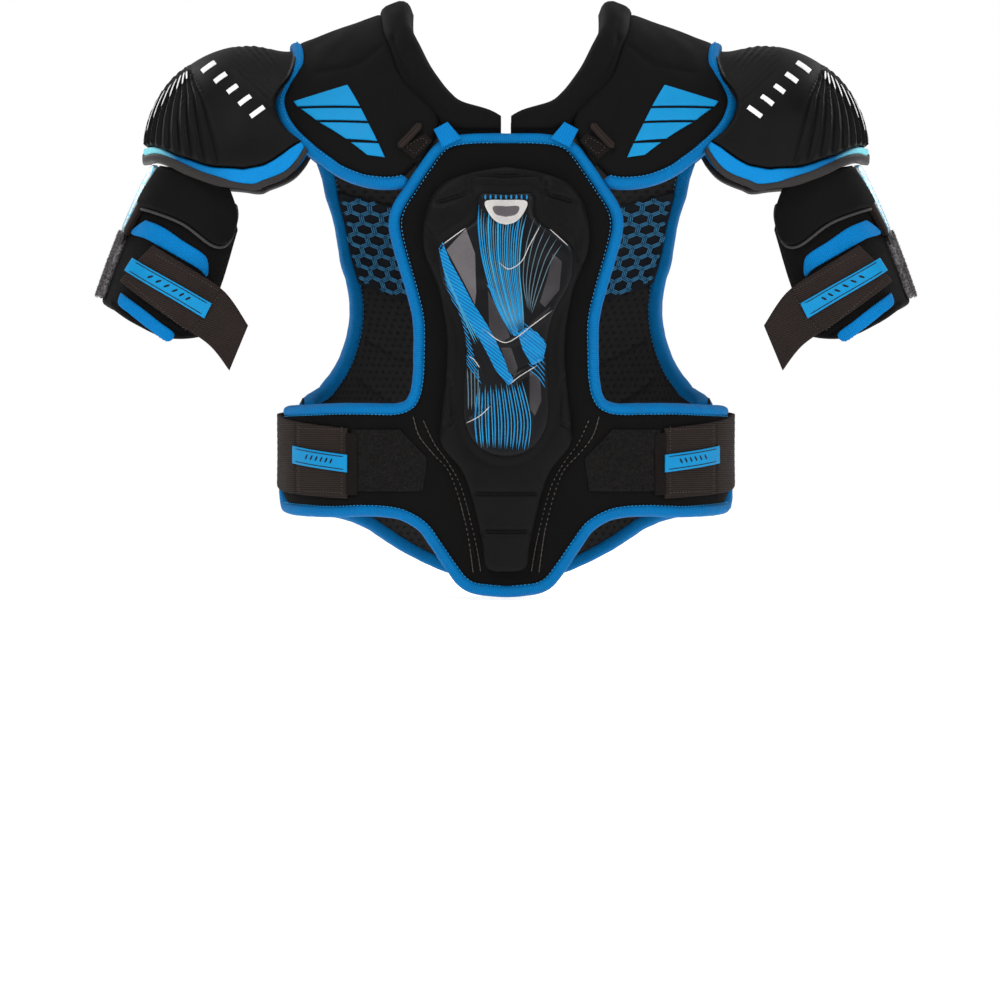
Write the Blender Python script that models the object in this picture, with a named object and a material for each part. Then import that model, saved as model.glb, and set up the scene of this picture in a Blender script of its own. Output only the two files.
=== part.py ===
"""Adult ice hockey shoulder pads: front and back panels, yokes, collar, shoulder caps, upper arm guards.

Metres in the scene, millimetres in the code. +Z is up, the front faces -Y, and the wearer's right is -X.
Every piece is laid on one of five smooth forms (front, back, shoulders, cap, arm), between two
distances from it, so neighbouring layers keep a small gap all the way round.
"""

import math

import bmesh
import bpy
from mathutils import Vector
from mathutils.geometry import delaunay_2d_cdt

MM = 0.001

# Torso form: rounded-rectangle section, closing over the shoulders
TORSO_HALF_WIDTH = 181.0
CHEST_HALF_WIDTH = 252.0
WAIST_TOP = 165.0
ARMPIT_TOP = 335.0
TORSO_HALF_DEPTH = 115.0
SECTION_POWER = 2.3
TORSO_RADIUS = 150.0
ARCH_BASE = 250.0
NECK_HEIGHT = 474.0
NECK_HALF_WIDTH = 75.0
SHOULDER_SLOPE = 0.38
ARCH_POWER = 2.2
ARCH_LENGTH = 190.0

# Shoulder cap form: a dome outside, a straight arch on the neck side
CAP_CENTRE = (-205.0, 0.0, 350.0)
CAP_REACH = 86.0
CAP_HALF_DEPTH = 90.0
CAP_RISE = 88.0

# Upper arm form: an oval tube leaning outward
ARM_CENTRE = (-258.0, 0.0, 280.0)
ARM_LEAN = math.radians(20.0)
ARM_HALF_WIDTH = 47.0
ARM_HALF_DEPTH = 60.0
ARM_RADIUS = 53.0
STRAP_LEAVES_ARM = math.radians(100.0)

# Thicknesses and gaps
GAP = 1.0
FOAM = 14.0
SPACING = 21.0
BINDING_HALF_WIDTH = 5.0
BINDING_STAND_OFF = 6.2
STRAP_STEP_IN = 20.0

# Joints
CHEST_HINGE = (0.0, -112.0, 366.0)
STRAP_HINGE = (-165.0, 1.0, 114.0)
CAP_HINGE = (-172.0, 0.0, 441.0)
ARM_HINGE = (-277.0, 0.0, 339.0)
ARM_STRAP_HINGE = (-301.0, -47.8, 269.1)

SIDES = (("right", 1.0), ("left", -1.0))


# --- forms -------------------------------------------------------------------------------------------

def smoothstep(low, high, value):
    t = min(1.0, max(0.0, (value - low) / (high - low)))
    return t * t * (3.0 - 2.0 * t)


def half_width(z):
    return TORSO_HALF_WIDTH + (CHEST_HALF_WIDTH - TORSO_HALF_WIDTH) * smoothstep(WAIST_TOP, ARMPIT_TOP, z)


def shoulder_top(x):
    return NECK_HEIGHT - SHOULDER_SLOPE * (math.hypot(x, 20.0) - NECK_HALF_WIDTH)


def closing(x, z):
    """How much of the depth is left at height z, 0 on the shoulder line."""
    t = max(0.0, (z - ARCH_BASE) / (shoulder_top(x) - ARCH_BASE))
    return max(0.0, 1.0 - t ** ARCH_POWER) ** (1.0 / ARCH_POWER)


def round_section(angle, power):
    """Sine and cosine pushed out to a rounded rectangle."""
    s = math.sin(angle)
    c = math.cos(angle)
    rho = (abs(s) ** power + abs(c) ** power) ** (1.0 / power)
    return s / rho, c / rho


def torso_point(facing):
    def point(u, v):
        s, c = round_section(u / TORSO_RADIUS, SECTION_POWER)
        x = half_width(v) * s
        return Vector((x, facing * TORSO_HALF_DEPTH * closing(x, v) * c, v))
    return point


def shoulder_point(u, v):
    deep, high = round_section(v / ARCH_LENGTH * math.pi / 2.0, ARCH_POWER)
    z = ARCH_BASE + (shoulder_top(u) - ARCH_BASE) * high
    across = max(0.0, 1.0 - abs(u / half_width(z)) ** SECTION_POWER) ** (1.0 / SECTION_POWER)
    return Vector((u, TORSO_HALF_DEPTH * deep * across, z))


def cap_point(u, v):
    cx, cy, cz = CAP_CENTRE
    if u >= 0.0:
        across = v / CAP_RISE
        return Vector((cx + u, cy + CAP_HALF_DEPTH * math.sin(across), cz + CAP_RISE * math.cos(across)))
    polar = math.hypot(u, v) / CAP_RISE
    turn = math.atan2(v, u)
    return Vector((
        cx + CAP_REACH * math.sin(polar) * math.cos(turn),
        cy + CAP_HALF_DEPTH * math.sin(polar) * math.sin(turn),
        cz + CAP_RISE * math.cos(polar),
    ))


def arm_frame():
    centre = Vector(ARM_CENTRE)
    down = Vector((-math.sin(ARM_LEAN), 0.0, -math.cos(ARM_LEAN)))
    outward = Vector((-math.cos(ARM_LEAN), 0.0, math.sin(ARM_LEAN)))
    return centre, down, outward, Vector((0.0, -1.0, 0.0))


def arm_point(u, v):
    centre, down, outward, front = arm_frame()
    turn = u / ARM_RADIUS
    return (centre + v * down + ARM_HALF_WIDTH * math.cos(turn) * outward
            + ARM_HALF_DEPTH * math.sin(turn) * front)


def arm_strap_point(u, v):
    """The arm form up to where the strap leaves it, then straight on."""
    leave = STRAP_LEAVES_ARM * ARM_RADIUS
    if u <= leave:
        return arm_point(u, v)
    start = arm_point(leave, v)
    along = (start - arm_point(leave - 0.5, v)).normalized()
    return start + (u - leave) * along


class Form:
    """A surface with a point and an outward normal at each (u, v), both in millimetres."""

    def __init__(self, point, facing=1.0):
        self.point = point
        self.facing = facing

    def at(self, u, v, lift=0.0):
        step = 0.5
        du = self.point(u + step, v) - self.point(u - step, v)
        dv = self.point(u, v + step) - self.point(u, v - step)
        normal = du.cross(dv).normalized() * self.facing
        return self.point(u, v) + normal * lift, normal


FRONT = Form(torso_point(-1.0))
BACK = Form(torso_point(1.0), -1.0)
SHOULDER = Form(shoulder_point)
CAP = Form(cap_point)
ARM = Form(arm_point, -1.0)
ARM_STRAP = Form(arm_strap_point, -1.0)


def torso_strap_point(u, v):
    """The front form as far as the end of the wing, then let in to the level of the back panel."""
    place, normal = FRONT.at(u, v)
    degrees = abs(math.degrees(u / TORSO_RADIUS))
    return place - normal * STRAP_STEP_IN * smoothstep(81.0, 86.0, degrees)


TORSO_STRAP = Form(torso_strap_point)


# --- places on the forms, from x across and z up as seen from the front ------------------------------

def on_torso(x, z):
    k = min(0.9995, abs(x) / half_width(z))
    depth = (1.0 - k ** SECTION_POWER) ** (1.0 / SECTION_POWER)
    return math.copysign(math.atan2(k, depth) * TORSO_RADIUS, x), z


def at_side(degrees, z):
    return math.radians(degrees) * TORSO_RADIUS, z


def on_shoulder(x, z, facing=-1.0):
    high = min(1.0, (z - ARCH_BASE) / (shoulder_top(x) - ARCH_BASE))
    deep = (1.0 - high ** ARCH_POWER) ** (1.0 / ARCH_POWER)
    return -abs(x), facing * math.atan2(deep, high) / (math.pi / 2.0) * ARCH_LENGTH


def on_cap(x, z, facing=-1.0):
    dx = -abs(x) - CAP_CENTRE[0]
    rise = (z - CAP_CENTRE[2]) / CAP_RISE
    polar = math.acos(max(-1.0, min(1.0, rise)))
    if dx >= 0.0:
        return dx, facing * polar * CAP_RISE
    across = max(-1.0, dx / CAP_REACH / math.sin(polar))
    return polar * CAP_RISE * across, facing * polar * CAP_RISE * math.sqrt(1.0 - across * across)


def on_arm(x, z):
    centre, down, outward, _ = arm_frame()
    place = Vector((-abs(x), 0.0, z)) - centre
    across = place.dot(outward)
    leave = ARM_HALF_WIDTH * math.cos(STRAP_LEAVES_ARM)
    if across < leave:
        return STRAP_LEAVES_ARM * ARM_RADIUS + leave - across, place.dot(down)
    return math.acos(min(1.0, across / ARM_HALF_WIDTH)) * ARM_RADIUS, place.dot(down)


def around_arm(degrees, along):
    return math.radians(degrees) * ARM_RADIUS, along


# --- paths -------------------------------------------------------------------------------------------

def smooth(points, step=SPACING):
    """A soft curve through the points, with places about one step apart."""
    fine = []
    for i in range(len(points) - 1):
        p0 = Vector(points[max(i - 1, 0)])
        p1 = Vector(points[i])
        p2 = Vector(points[i + 1])
        p3 = Vector(points[min(i + 2, len(points) - 1)])
        for k in range(12):
            t = k / 12.0
            fine.append(0.5 * (2.0 * p1 + (p2 - p0) * t + (2.0 * p0 - 5.0 * p1 + 4.0 * p2 - p3) * t * t
                               + (3.0 * p1 - p0 - 3.0 * p2 + p3) * t ** 3))
    fine.append(Vector(points[-1]))
    length = sum((b - a).length for a, b in zip(fine, fine[1:]))
    count = max(1, round(length / step))
    path = [fine[0]]
    walked = 0.0
    for a, b in zip(fine, fine[1:]):
        piece = (b - a).length
        while len(path) < count and walked + piece >= len(path) * length / count:
            path.append(a.lerp(b, (len(path) * length / count - walked) / piece))
        walked += piece
    path.append(fine[-1])
    return path


def join(*runs):
    path = []
    for run in runs:
        for place in run:
            if not path or (Vector(place) - path[-1]).length > 0.5:
                path.append(Vector(place))
    if (path[0] - path[-1]).length < 0.5:
        path.pop()
    return path


def both_sides(half):
    """A half outline from the top centre to the bottom centre, closed with its mirror image."""
    return join(half, [Vector((-u, v)) for u, v in reversed(half)])


def front_to_back(half):
    """A half outline over the front, closed with the same over the back."""
    return join(half, [Vector((u, -v)) for u, v in reversed(half)])


def front_to_back_strip(upper, lower):
    """A strip between two half curves that end over the tip, closed with the same over the back."""
    top = smooth(upper, 16.0)
    low = smooth(lower, 16.0)
    top_back = [Vector((u, -v)) for u, v in top]
    low_back = [Vector((u, -v)) for u, v in low]
    return join(low, reversed(low_back), top_back, reversed(top))


def stand_off(path, distance):
    """An open path moved to its left by a distance."""
    moved = []
    for i, place in enumerate(path):
        along = path[min(i + 1, len(path) - 1)] - path[max(i - 1, 0)]
        moved.append(place + Vector((-along.y, along.x)).normalized() * distance)
    return moved


def inside(place, outline):
    hit = False
    for a, b in zip(outline, outline[1:] + outline[:1]):
        if (a.y > place.y) != (b.y > place.y):
            if place.x < (b.x - a.x) * (place.y - a.y) / (b.y - a.y) + a.x:
                hit = not hit
    return hit


# --- solids ------------------------------------------------------------------------------------------

def grid_inside(outline, spacing):
    low_u = min(p.x for p in outline)
    high_u = max(p.x for p in outline)
    low_v = min(p.y for p in outline)
    high_v = max(p.y for p in outline)
    middle = (low_u + high_u) / 2.0
    columns = math.ceil((high_u - low_u) / spacing / 2.0)
    rows = math.ceil((high_v - low_v) / spacing)
    found = []
    for row in range(rows + 1):
        for column in range(-columns, columns + 1):
            place = Vector((middle + column * spacing, low_v + (row + 0.5) * spacing))
            if inside(place, outline) and min((place - p).length for p in outline) > 0.6 * spacing:
                found.append(place)
    return found


def finish(name, mesh, colour, body, mirror):
    for vert in mesh.verts:
        vert.co = Vector((vert.co.x * mirror, vert.co.y, vert.co.z)) * MM - body.location
    bmesh.ops.recalc_face_normals(mesh, faces=mesh.faces)
    data = bpy.data.meshes.new(name)
    mesh.to_mesh(data)
    mesh.free()
    data.materials.append(colour)
    obj = bpy.data.objects.new(name, data)
    obj.parent = body
    bpy.context.scene.collection.objects.link(obj)
    return obj


def plate(name, form, outline, inner, outer, colour, body, mirror=1.0, spacing=SPACING, edge=2.0):
    """A sheet of the form inside the outline, from one distance off it to another, with thinned edges."""
    places = outline + grid_inside(outline, spacing)
    verts, _, faces, source, _, _ = delaunay_2d_cdt(places, [], [list(range(len(outline)))], 1, 1e-4)
    mesh = bmesh.new()
    tops = []
    bottoms = []
    for (u, v), ids in zip(verts, source):
        thin = edge if ids and ids[0] < len(outline) else 0.0
        tops.append(mesh.verts.new(form.at(u, v, outer - thin)[0]))
        bottoms.append(mesh.verts.new(form.at(u, v, inner)[0]))
    used = {}
    for face in faces:
        mesh.faces.new([tops[i] for i in face])
        mesh.faces.new([bottoms[i] for i in reversed(face)])
        for a, b in zip(face, face[1:] + face[:1]):
            used[(a, b)] = True
    for a, b in used:
        if (b, a) not in used:
            mesh.faces.new([tops[b], tops[a], bottoms[a], bottoms[b]])
    return finish(name, mesh, colour, body, mirror)


def cord(name, form, path, lift, half_wide, half_deep, colour, body, mirror=1.0, closed=False, corners=6):
    """A rounded strip along the path, half_wide along the form and half_deep through it."""
    mesh = bmesh.new()
    rings = []
    for i, place in enumerate(path):
        ahead = path[(i + 1) % len(path)] if closed else path[min(i + 1, len(path) - 1)]
        behind = path[i - 1] if closed else path[max(i - 1, 0)]
        centre, normal = form.at(place.x, place.y, lift)
        along = form.at(ahead.x, ahead.y)[0] - form.at(behind.x, behind.y)[0]
        across = normal.cross(along).normalized()
        ring = []
        for k in range(corners):
            turn = 2.0 * math.pi * (k + 0.5) / corners
            ring.append(mesh.verts.new(centre + across * half_wide * math.cos(turn)
                                       + normal * half_deep * math.sin(turn)))
        rings.append(ring)
    pairs = list(zip(rings, rings[1:] + rings[:1])) if closed else list(zip(rings, rings[1:]))
    for a, b in pairs:
        for k in range(corners):
            n = (k + 1) % corners
            mesh.faces.new([a[k], a[n], b[n], b[k]])
    if not closed:
        mesh.faces.new(rings[0])
        mesh.faces.new(list(reversed(rings[-1])))
    return finish(name, mesh, colour, body, mirror)


def material(name, colour, roughness, metallic=0.0):
    made = bpy.data.materials.new(name)
    made.use_nodes = True
    shader = made.node_tree.nodes["Principled BSDF"]
    shader.inputs["Base Color"].default_value = (*colour, 1.0)
    shader.inputs["Roughness"].default_value = roughness
    shader.inputs["Metallic"].default_value = metallic
    made.diffuse_color = (*colour, 1.0)
    return made


def body_at(name, place=(0.0, 0.0, 0.0), mirror=1.0):
    empty = bpy.data.objects.new(name, None)
    empty.location = Vector((place[0] * mirror, place[1], place[2])) * MM
    bpy.context.scene.collection.objects.link(empty)
    return empty


# --- the pads ----------------------------------------------------------------------------------------

for old in list(bpy.data.objects):
    bpy.data.objects.remove(old)

BLACK = material("black_fabric", (0.012, 0.012, 0.013), 0.75)
DARK = material("black_moulded", (0.018, 0.018, 0.020), 0.5)
LINING = material("mesh_lining", (0.030, 0.031, 0.034), 0.85)
BLUE = material("blue_fabric", (0.004, 0.20, 0.55), 0.55)
BRIGHT = material("blue_print", (0.002, 0.37, 0.72), 0.4)
GREY = material("grey_rubber", (0.045, 0.042, 0.043), 0.6)
WEBBING = material("brown_webbing", (0.040, 0.030, 0.026), 0.8)
SILVER = material("silver_film", (0.50, 0.55, 0.58), 0.35, 0.6)
SPECKLE = material("grey_fleece", (0.11, 0.105, 0.11), 0.95)

harness = body_at("body_harness")
chest = body_at("body_chest", CHEST_HINGE)

# Front panel
panel_top = [(0, 354), (24, 354), (40, 352), (47, 347)]
panel_side = [(47, 347), (55, 336), (67, 318), (77, 302), (79, 288), (73, 262), (67, 240), (62, 216),
              (62, 188), (63, 168), (66, 154), (73, 144), (87, 139)]
wing_top = [(87, 139), (110, 139), (135, 139), (158, 138)]
wing_bottom = [(158, 71), (140, 70), (115, 71), (93, 70), (77, 66), (61, 56), (49, 40), (38, 24),
               (27, 11), (13, 8), (0, 7)]
top_run = smooth([on_torso(*p) for p in panel_top + panel_side[1:] + wing_top[1:]] + [at_side(76, 137)])
end_run = smooth([at_side(76, 137), at_side(79, 127), at_side(79, 82), at_side(76, 73)])
low_run = smooth([at_side(76, 73)] + [on_torso(*p) for p in wing_bottom])
panel_outline = both_sides(join(top_run, end_run, low_run))
plate("chest_panel", FRONT, panel_outline, -FOAM, 0.0, BLACK, chest)

lining_outline = both_sides(smooth([on_torso(*p) for p in [
    (0, 342), (36, 340), (52, 318), (64, 292), (60, 260), (52, 225), (50, 180), (54, 150), (72, 130),
    (120, 127), (145, 124), (148, 100), (143, 84), (110, 84), (75, 78), (50, 58), (34, 36), (0, 22)]]))
plate("chest_lining", FRONT, lining_outline, -FOAM - 5.0, -FOAM - GAP, LINING, chest, spacing=26.0)

upper_edge = stand_off(top_run, BINDING_STAND_OFF)
cord("chest_binding_upper", FRONT, join([Vector((-u, v)) for u, v in reversed(upper_edge)], upper_edge[1:]),
     -7.0, BINDING_HALF_WIDTH, 9.0, BLUE, chest)
lower_edge = stand_off(low_run, BINDING_STAND_OFF)
cord("chest_binding_lower", FRONT, join(lower_edge, [Vector((-u, v)) for u, v in reversed(lower_edge[:-1])]),
     -7.0, BINDING_HALF_WIDTH, 9.0, BLUE, chest)

# Moulded centre pad, sternum plate and its badge
pad_half = [(0, 337), (29, 332), (52, 322), (64, 300), (65, 272), (53, 238), (47, 205), (48, 165),
            (51, 138), (57, 112), (45, 88), (33, 66), (28, 44), (22, 20), (0, 16)]
plate("sternum_pad", FRONT, both_sides(smooth([on_torso(*p) for p in pad_half], 18.0)),
      GAP, 12.0, DARK, chest, edge=5.0)
plate_half = [(0, 314), (21, 314), (22, 301), (27, 292), (50, 275), (52, 262), (48, 244), (36, 220),
              (31, 196), (32, 168), (32, 138), (25, 120), (13, 110), (0, 107)]
plate("sternum_plate", FRONT, both_sides(smooth([on_torso(*p) for p in plate_half], 14.0)),
      13.0, 19.0, DARK, chest, spacing=18.0, edge=3.0)
badge_half = [(0, 309), (16, 308), (13, 298), (7, 292), (0, 290)]
plate("sternum_badge", FRONT, both_sides(smooth([on_torso(*p) for p in badge_half], 8.0)),
      20.0, 22.0, SILVER, chest, spacing=12.0, edge=0.5)

# Back panel, hung under the yokes
armhole = [(148, 384), (148, 360), (141, 338), (138, 322), (132, 301), (129, 280), (127, 260), (123, 244),
           (122, 222), (126, 202), (134, 184), (144, 170), (156, 159), (166, 151)]
arm_run = smooth([on_torso(*p) for p in armhole] + [at_side(87, 140)])
hem = [(150, 68), (122, 60), (105, 51), (88, 41), (63, 29), (40, 21), (0, 18)]
hem_run = smooth([at_side(87, 76)] + [on_torso(*p) for p in hem])
back_half = join(smooth([on_torso(*p) for p in [(0, 360), (40, 364), (75, 378), (110, 388), (148, 384)]]),
                 arm_run, smooth([at_side(87, 140), at_side(87, 76)]), hem_run)
plate("back_panel", BACK, both_sides(back_half), -26.0, -16.0, BLACK, harness)
plate("spine_pad", BACK, both_sides(smooth([on_torso(*p) for p in [
    (0, 330), (38, 326), (47, 290), (44, 220), (50, 150), (44, 90), (30, 52), (0, 46)]])),
    -15.0, 1.0, DARK, harness, edge=6.0)
hem_edge = stand_off(hem_run, BINDING_STAND_OFF)
cord("back_binding_lower", BACK, join(hem_edge, [Vector((-u, v)) for u, v in reversed(hem_edge[:-1])]),
     -21.0, BINDING_HALF_WIDTH, 7.0, BLUE, harness)

for side, mirror in SIDES:
    strap = body_at(f"body_torso_strap_{side}", STRAP_HINGE, mirror)
    cap = body_at(f"body_cap_{side}", CAP_HINGE, mirror)
    arm = body_at(f"body_arm_{side}", ARM_HINGE, mirror)
    arm_strap = body_at(f"body_arm_strap_{side}", ARM_STRAP_HINGE, mirror)

    # Back: armhole binding and the mesh lining seen through the armhole
    arm_edge = stand_off([Vector((-u, v)) for u, v in reversed(arm_run[2:])], BINDING_STAND_OFF)
    cord(f"armhole_binding_{side}", BACK, arm_edge, -21.0, BINDING_HALF_WIDTH, 7.0, BLUE, harness, mirror)
    mesh_half = [(116, 322), (60, 306), (60, 216), (104, 228), (112, 262), (116, 322)]
    mesh_outline = join(*[smooth([on_torso(-a[0], a[1]), on_torso(-b[0], b[1])])
                          for a, b in zip(mesh_half, mesh_half[1:])])
    plate(f"back_mesh_{side}", BACK, mesh_outline, -30.0, -27.0, LINING, harness, mirror, edge=0.5)

    # Yoke over the shoulder, its binding and its printed facet plate
    yoke_outer = [(160, 428), (164, 416), (171, 404), (175, 393), (172, 382), (165, 372), (153, 361),
                  (141, 352), (129, 344), (113, 338), (97, 336), (85, 337), (73, 341)]
    yoke_inner = [(73, 341), (64, 358), (57, 373), (67, 387), (79, 399), (88, 412), (95, 433), (100, 449)]
    outer_run = smooth([(-164.0, 0.0)] + [on_shoulder(*p) for p in yoke_outer])
    inner_run = smooth([on_shoulder(*p) for p in yoke_inner] + [(-104.0, 0.0)])
    yoke_outline = front_to_back(join(outer_run, inner_run))
    plate(f"yoke_{side}", SHOULDER, yoke_outline, -FOAM, 0.0, BLACK, harness, mirror)
    outer_edge = stand_off(outer_run[:-1], -BINDING_STAND_OFF)
    cord(f"yoke_binding_{side}", SHOULDER,
         join([Vector((u, -v)) for u, v in reversed(outer_edge)], outer_edge[1:]),
         -6.0, BINDING_HALF_WIDTH, 8.0, BLUE, harness, mirror)
    facet = [(167, 390), (126, 402), (96, 356), (104, 343), (134, 362), (167, 390)]
    facet_outline = join(*[smooth([on_shoulder(*a), on_shoulder(*b)], 18.0) for a, b in zip(facet, facet[1:])])
    plate(f"yoke_plate_{side}", SHOULDER, facet_outline, GAP, 3.5, BRIGHT, harness, mirror, edge=1.0)

    # Collar half, split at the front and back centre
    neck = [(4, 379), (13, 384), (35, 391), (45, 399), (53, 409), (61, 421), (68, 435), (75, 449), (78, 460)]
    seam = [(99, 449), (93, 433), (86, 412), (77, 400), (65, 388), (55, 378), (48, 370), (30, 368), (4, 368)]
    neck_run = smooth([on_shoulder(*p) for p in neck] + [(-78.0, 0.0)], 16.0)
    seam_run = smooth([(-102.0, 0.0)] + [on_shoulder(*p) for p in seam], 16.0)
    split = smooth([on_shoulder(4, 368), on_shoulder(4, 379)], 12.0)
    collar_half = join(reversed(neck_run), reversed(split), reversed(seam_run))
    plate(f"collar_{side}", SHOULDER, front_to_back(collar_half), -16.0, 4.0, BLACK, harness, mirror, edge=7.0)

    # Webbing link between yoke and front panel, with its coloured tab
    link = [(64, 364), (84, 352), (73, 345), (61, 359)]
    plate(f"chest_link_{side}", SHOULDER, join([on_shoulder(*p) for p in link]), GAP, 3.0, WEBBING, harness,
          mirror, spacing=40.0, edge=0.3)

    # Torso strap: over the wing, round the side, to the edge of the back panel
    strap_top = [at_side(-89.5, 140), at_side(-84, 142), at_side(-75, 139), on_torso(-125, 130)]
    strap_low = [on_torso(-125, 74), at_side(-75, 80), at_side(-84, 86), at_side(-89.5, 87)]
    strap_outline = join(smooth(strap_top), smooth([strap_top[-1], strap_low[0]]), smooth(strap_low),
                         smooth([strap_low[-1], strap_top[0]]))
    plate(f"torso_strap_{side}", TORSO_STRAP, strap_outline, GAP, 4.0, WEBBING, strap, mirror, 15.0, 0.5)
    tag = [on_torso(*p) for p in [(-166, 116), (-124, 109), (-124, 95), (-166, 102), (-166, 116)]]
    tag_outline = join(*[smooth([a, b], 14.0) for a, b in zip(tag, tag[1:])])
    plate(f"torso_tag_{side}", FRONT, tag_outline, 5.0, 6.5, BLUE, strap, mirror, edge=0.2)
    patch = [on_torso(-122, 129), on_torso(-84, 129), on_torso(-62, 106), on_torso(-66, 80), on_torso(-122, 80),
             on_torso(-122, 129)]
    patch_outline = join(*[smooth([a, b], 16.0) for a, b in zip(patch, patch[1:])])
    plate(f"torso_loop_{side}", FRONT, patch_outline, GAP, 3.0, DARK, chest, mirror, edge=0.3)

    # Shoulder cap: moulded shell, foam under it, coloured band and grey rim along the lower edge
    cap_edge = [(179, 424), (181, 412), (187, 402), (190, 392), (188, 381), (181, 369), (170, 358)]
    band_top = [(170, 358), (175, 352), (185, 343), (197, 339), (213, 337), (237, 339), (261, 347), (277, 354)]
    band_low = [(168, 342), (177, 332), (193, 326), (205, 323), (221, 326), (245, 334), (269, 345)]
    rim_low = [(160, 337), (165, 329), (173, 323), (189, 317), (205, 315), (229, 320), (253, 331), (273, 341)]
    edge_run = smooth([(CAP_CENTRE[0] * -1.0 - 179.0, 0.0)] + [on_cap(*p) for p in cap_edge])
    tip = math.pi / 2.0 * CAP_RISE
    shell_low = smooth([on_cap(*p) for p in band_top] + [(-tip + 6.0, 0.0)])
    plate(f"cap_shell_{side}", CAP, front_to_back(join(edge_run, shell_low)), -8.0, 0.0, DARK, cap, mirror)
    foam_edge = smooth([(CAP_CENTRE[0] * -1.0 - 181.0, 0.0)] + [on_cap(x + 2.0, z) for x, z in cap_edge]
                       + [on_cap(168, 345), on_cap(171, 332)])
    foam_low = smooth([on_cap(171, 332), on_cap(189, 324), on_cap(205, 321), on_cap(229, 327),
                       on_cap(250, 338), on_cap(270, 348), (-tip + 4.0, 0.0)])
    plate(f"cap_foam_{side}", CAP, front_to_back(join(foam_edge, foam_low)), -20.0, -9.8, BLACK, cap, mirror,
          edge=0.5)
    over_tip = [(-tip + 4.5, 0.0)]
    band_ring = front_to_back_strip([on_cap(x, z - 1.3) for x, z in band_top] + over_tip,
                                    [on_cap(x, z + 1.0) for x, z in band_low] + [(-tip - 1.0, 0.0)])
    plate(f"cap_band_{side}", CAP, band_ring, -7.0, 0.5, BLUE, cap, mirror, spacing=16.0, edge=1.0)
    rim_ring = front_to_back_strip([on_cap(x, z - 0.8) for x, z in band_low] + [(-tip - 2.6, 0.0)],
                                   [on_cap(*p) for p in rim_low] + [(-tip - 9.0, 0.0)])
    plate(f"cap_rim_{side}", CAP, rim_ring, -7.0, 1.5, GREY, cap, mirror, spacing=16.0, edge=1.0)

    # Upper arm guard: cup, flap over its top, two panels, fleece edge
    guard = join(smooth([around_arm(-100, 70), around_arm(-100, 4)]),
                 smooth([around_arm(-100, 4), around_arm(-40, 12), around_arm(0, 15), around_arm(32, 3),
                         around_arm(60, -12), around_arm(90, -24), around_arm(146, -26)]),
                 smooth([around_arm(146, -26), around_arm(152, 20), around_arm(150, 68)]),
                 smooth([around_arm(150, 68), around_arm(110, 78), around_arm(70, 76), around_arm(20, 70),
                         around_arm(-40, 72), around_arm(-100, 70)]))
    plate(f"arm_guard_{side}", ARM, guard, -11.0, 0.0, BLACK, arm, mirror)
    flap = join(smooth([around_arm(47, -42), around_arm(90, -52), around_arm(124, -51)]),
                smooth([around_arm(124, -51), around_arm(137, -34), around_arm(134, -12), around_arm(118, -6),
                        around_arm(85, -14), around_arm(55, -17), around_arm(47, -24), around_arm(47, -42)]))
    plate(f"arm_flap_{side}", ARM, flap, GAP, 9.0, DARK, arm, mirror, edge=4.0)
    upper_panel = [(287, 296), (273, 290), (257, 279), (241, 269), (236, 262), (236, 250), (245, 257),
                   (273, 273), (287, 281), (299, 286), (287, 296)]
    upper_outline = join(smooth([on_arm(*p) for p in upper_panel], 16.0))
    plate(f"arm_panel_upper_{side}", ARM, upper_outline, GAP, 3.5, BLUE, arm, mirror, edge=1.0)
    lower_panel = [(307, 238), (292, 227), (277, 215), (264, 205), (270, 199), (285, 209), (300, 221),
                   (309, 229), (307, 238)]
    lower_outline = join(smooth([on_arm(*p) for p in lower_panel], 16.0))
    plate(f"arm_panel_lower_{side}", ARM, lower_outline, GAP, 3.5, BLUE, arm, mirror, edge=1.0)
    edge_path = smooth([around_arm(6, -18), around_arm(-2, 20), around_arm(-2, 48), around_arm(6, 66)])
    cord(f"arm_edge_{side}", ARM, edge_path, 3.4, 9.0, 2.4, SPECKLE, arm, mirror)

    # Arm strap: round the front of the guard to a free tail, with its tag
    tail_top = [around_arm(47, 8)] + [on_arm(*p) for p in [(281, 274), (253, 258), (225, 239), (206, 212)]]
    tail_low = [on_arm(*p) for p in [(221, 176), (238, 197), (268, 217), (299, 243)]] + [around_arm(47, 42)]
    tail = join(smooth(tail_top, 15.0), smooth([tail_top[-1], tail_low[0]], 15.0), smooth(tail_low, 15.0),
                smooth([tail_low[-1], tail_top[0]], 15.0))
    plate(f"arm_strap_{side}", ARM_STRAP, tail, 5.0, 7.5, WEBBING, arm_strap, mirror, spacing=16.0, edge=0.3)
    arm_tag = [on_arm(293, 264), on_arm(236, 230), on_arm(242, 218), on_arm(299, 254), on_arm(293, 264)]
    arm_tag_outline = join(*[smooth([a, b], 14.0) for a, b in zip(arm_tag, arm_tag[1:])])
    plate(f"arm_tag_{side}", ARM_STRAP, arm_tag_outline, 8.5, 10.0, BLUE, arm_strap, mirror, edge=0.2)

    # Elastic link from the cap rim down to the guard
    link_path = smooth([around_arm(37, -49), around_arm(28, -25), around_arm(19, 0), around_arm(15, 12)], 12.0)
    cord(f"cap_link_{side}", ARM, link_path, 2.4, 5.5, 1.6, SILVER, arm, mirror, corners=4)
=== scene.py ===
"""Adult ice hockey shoulder pads, dressed: foam, fabric, webbing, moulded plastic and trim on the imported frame."""

import math

import bpy
import numpy as np
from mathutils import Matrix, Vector
from mathutils.geometry import delaunay_2d_cdt
from mathutils.kdtree import KDTree


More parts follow.
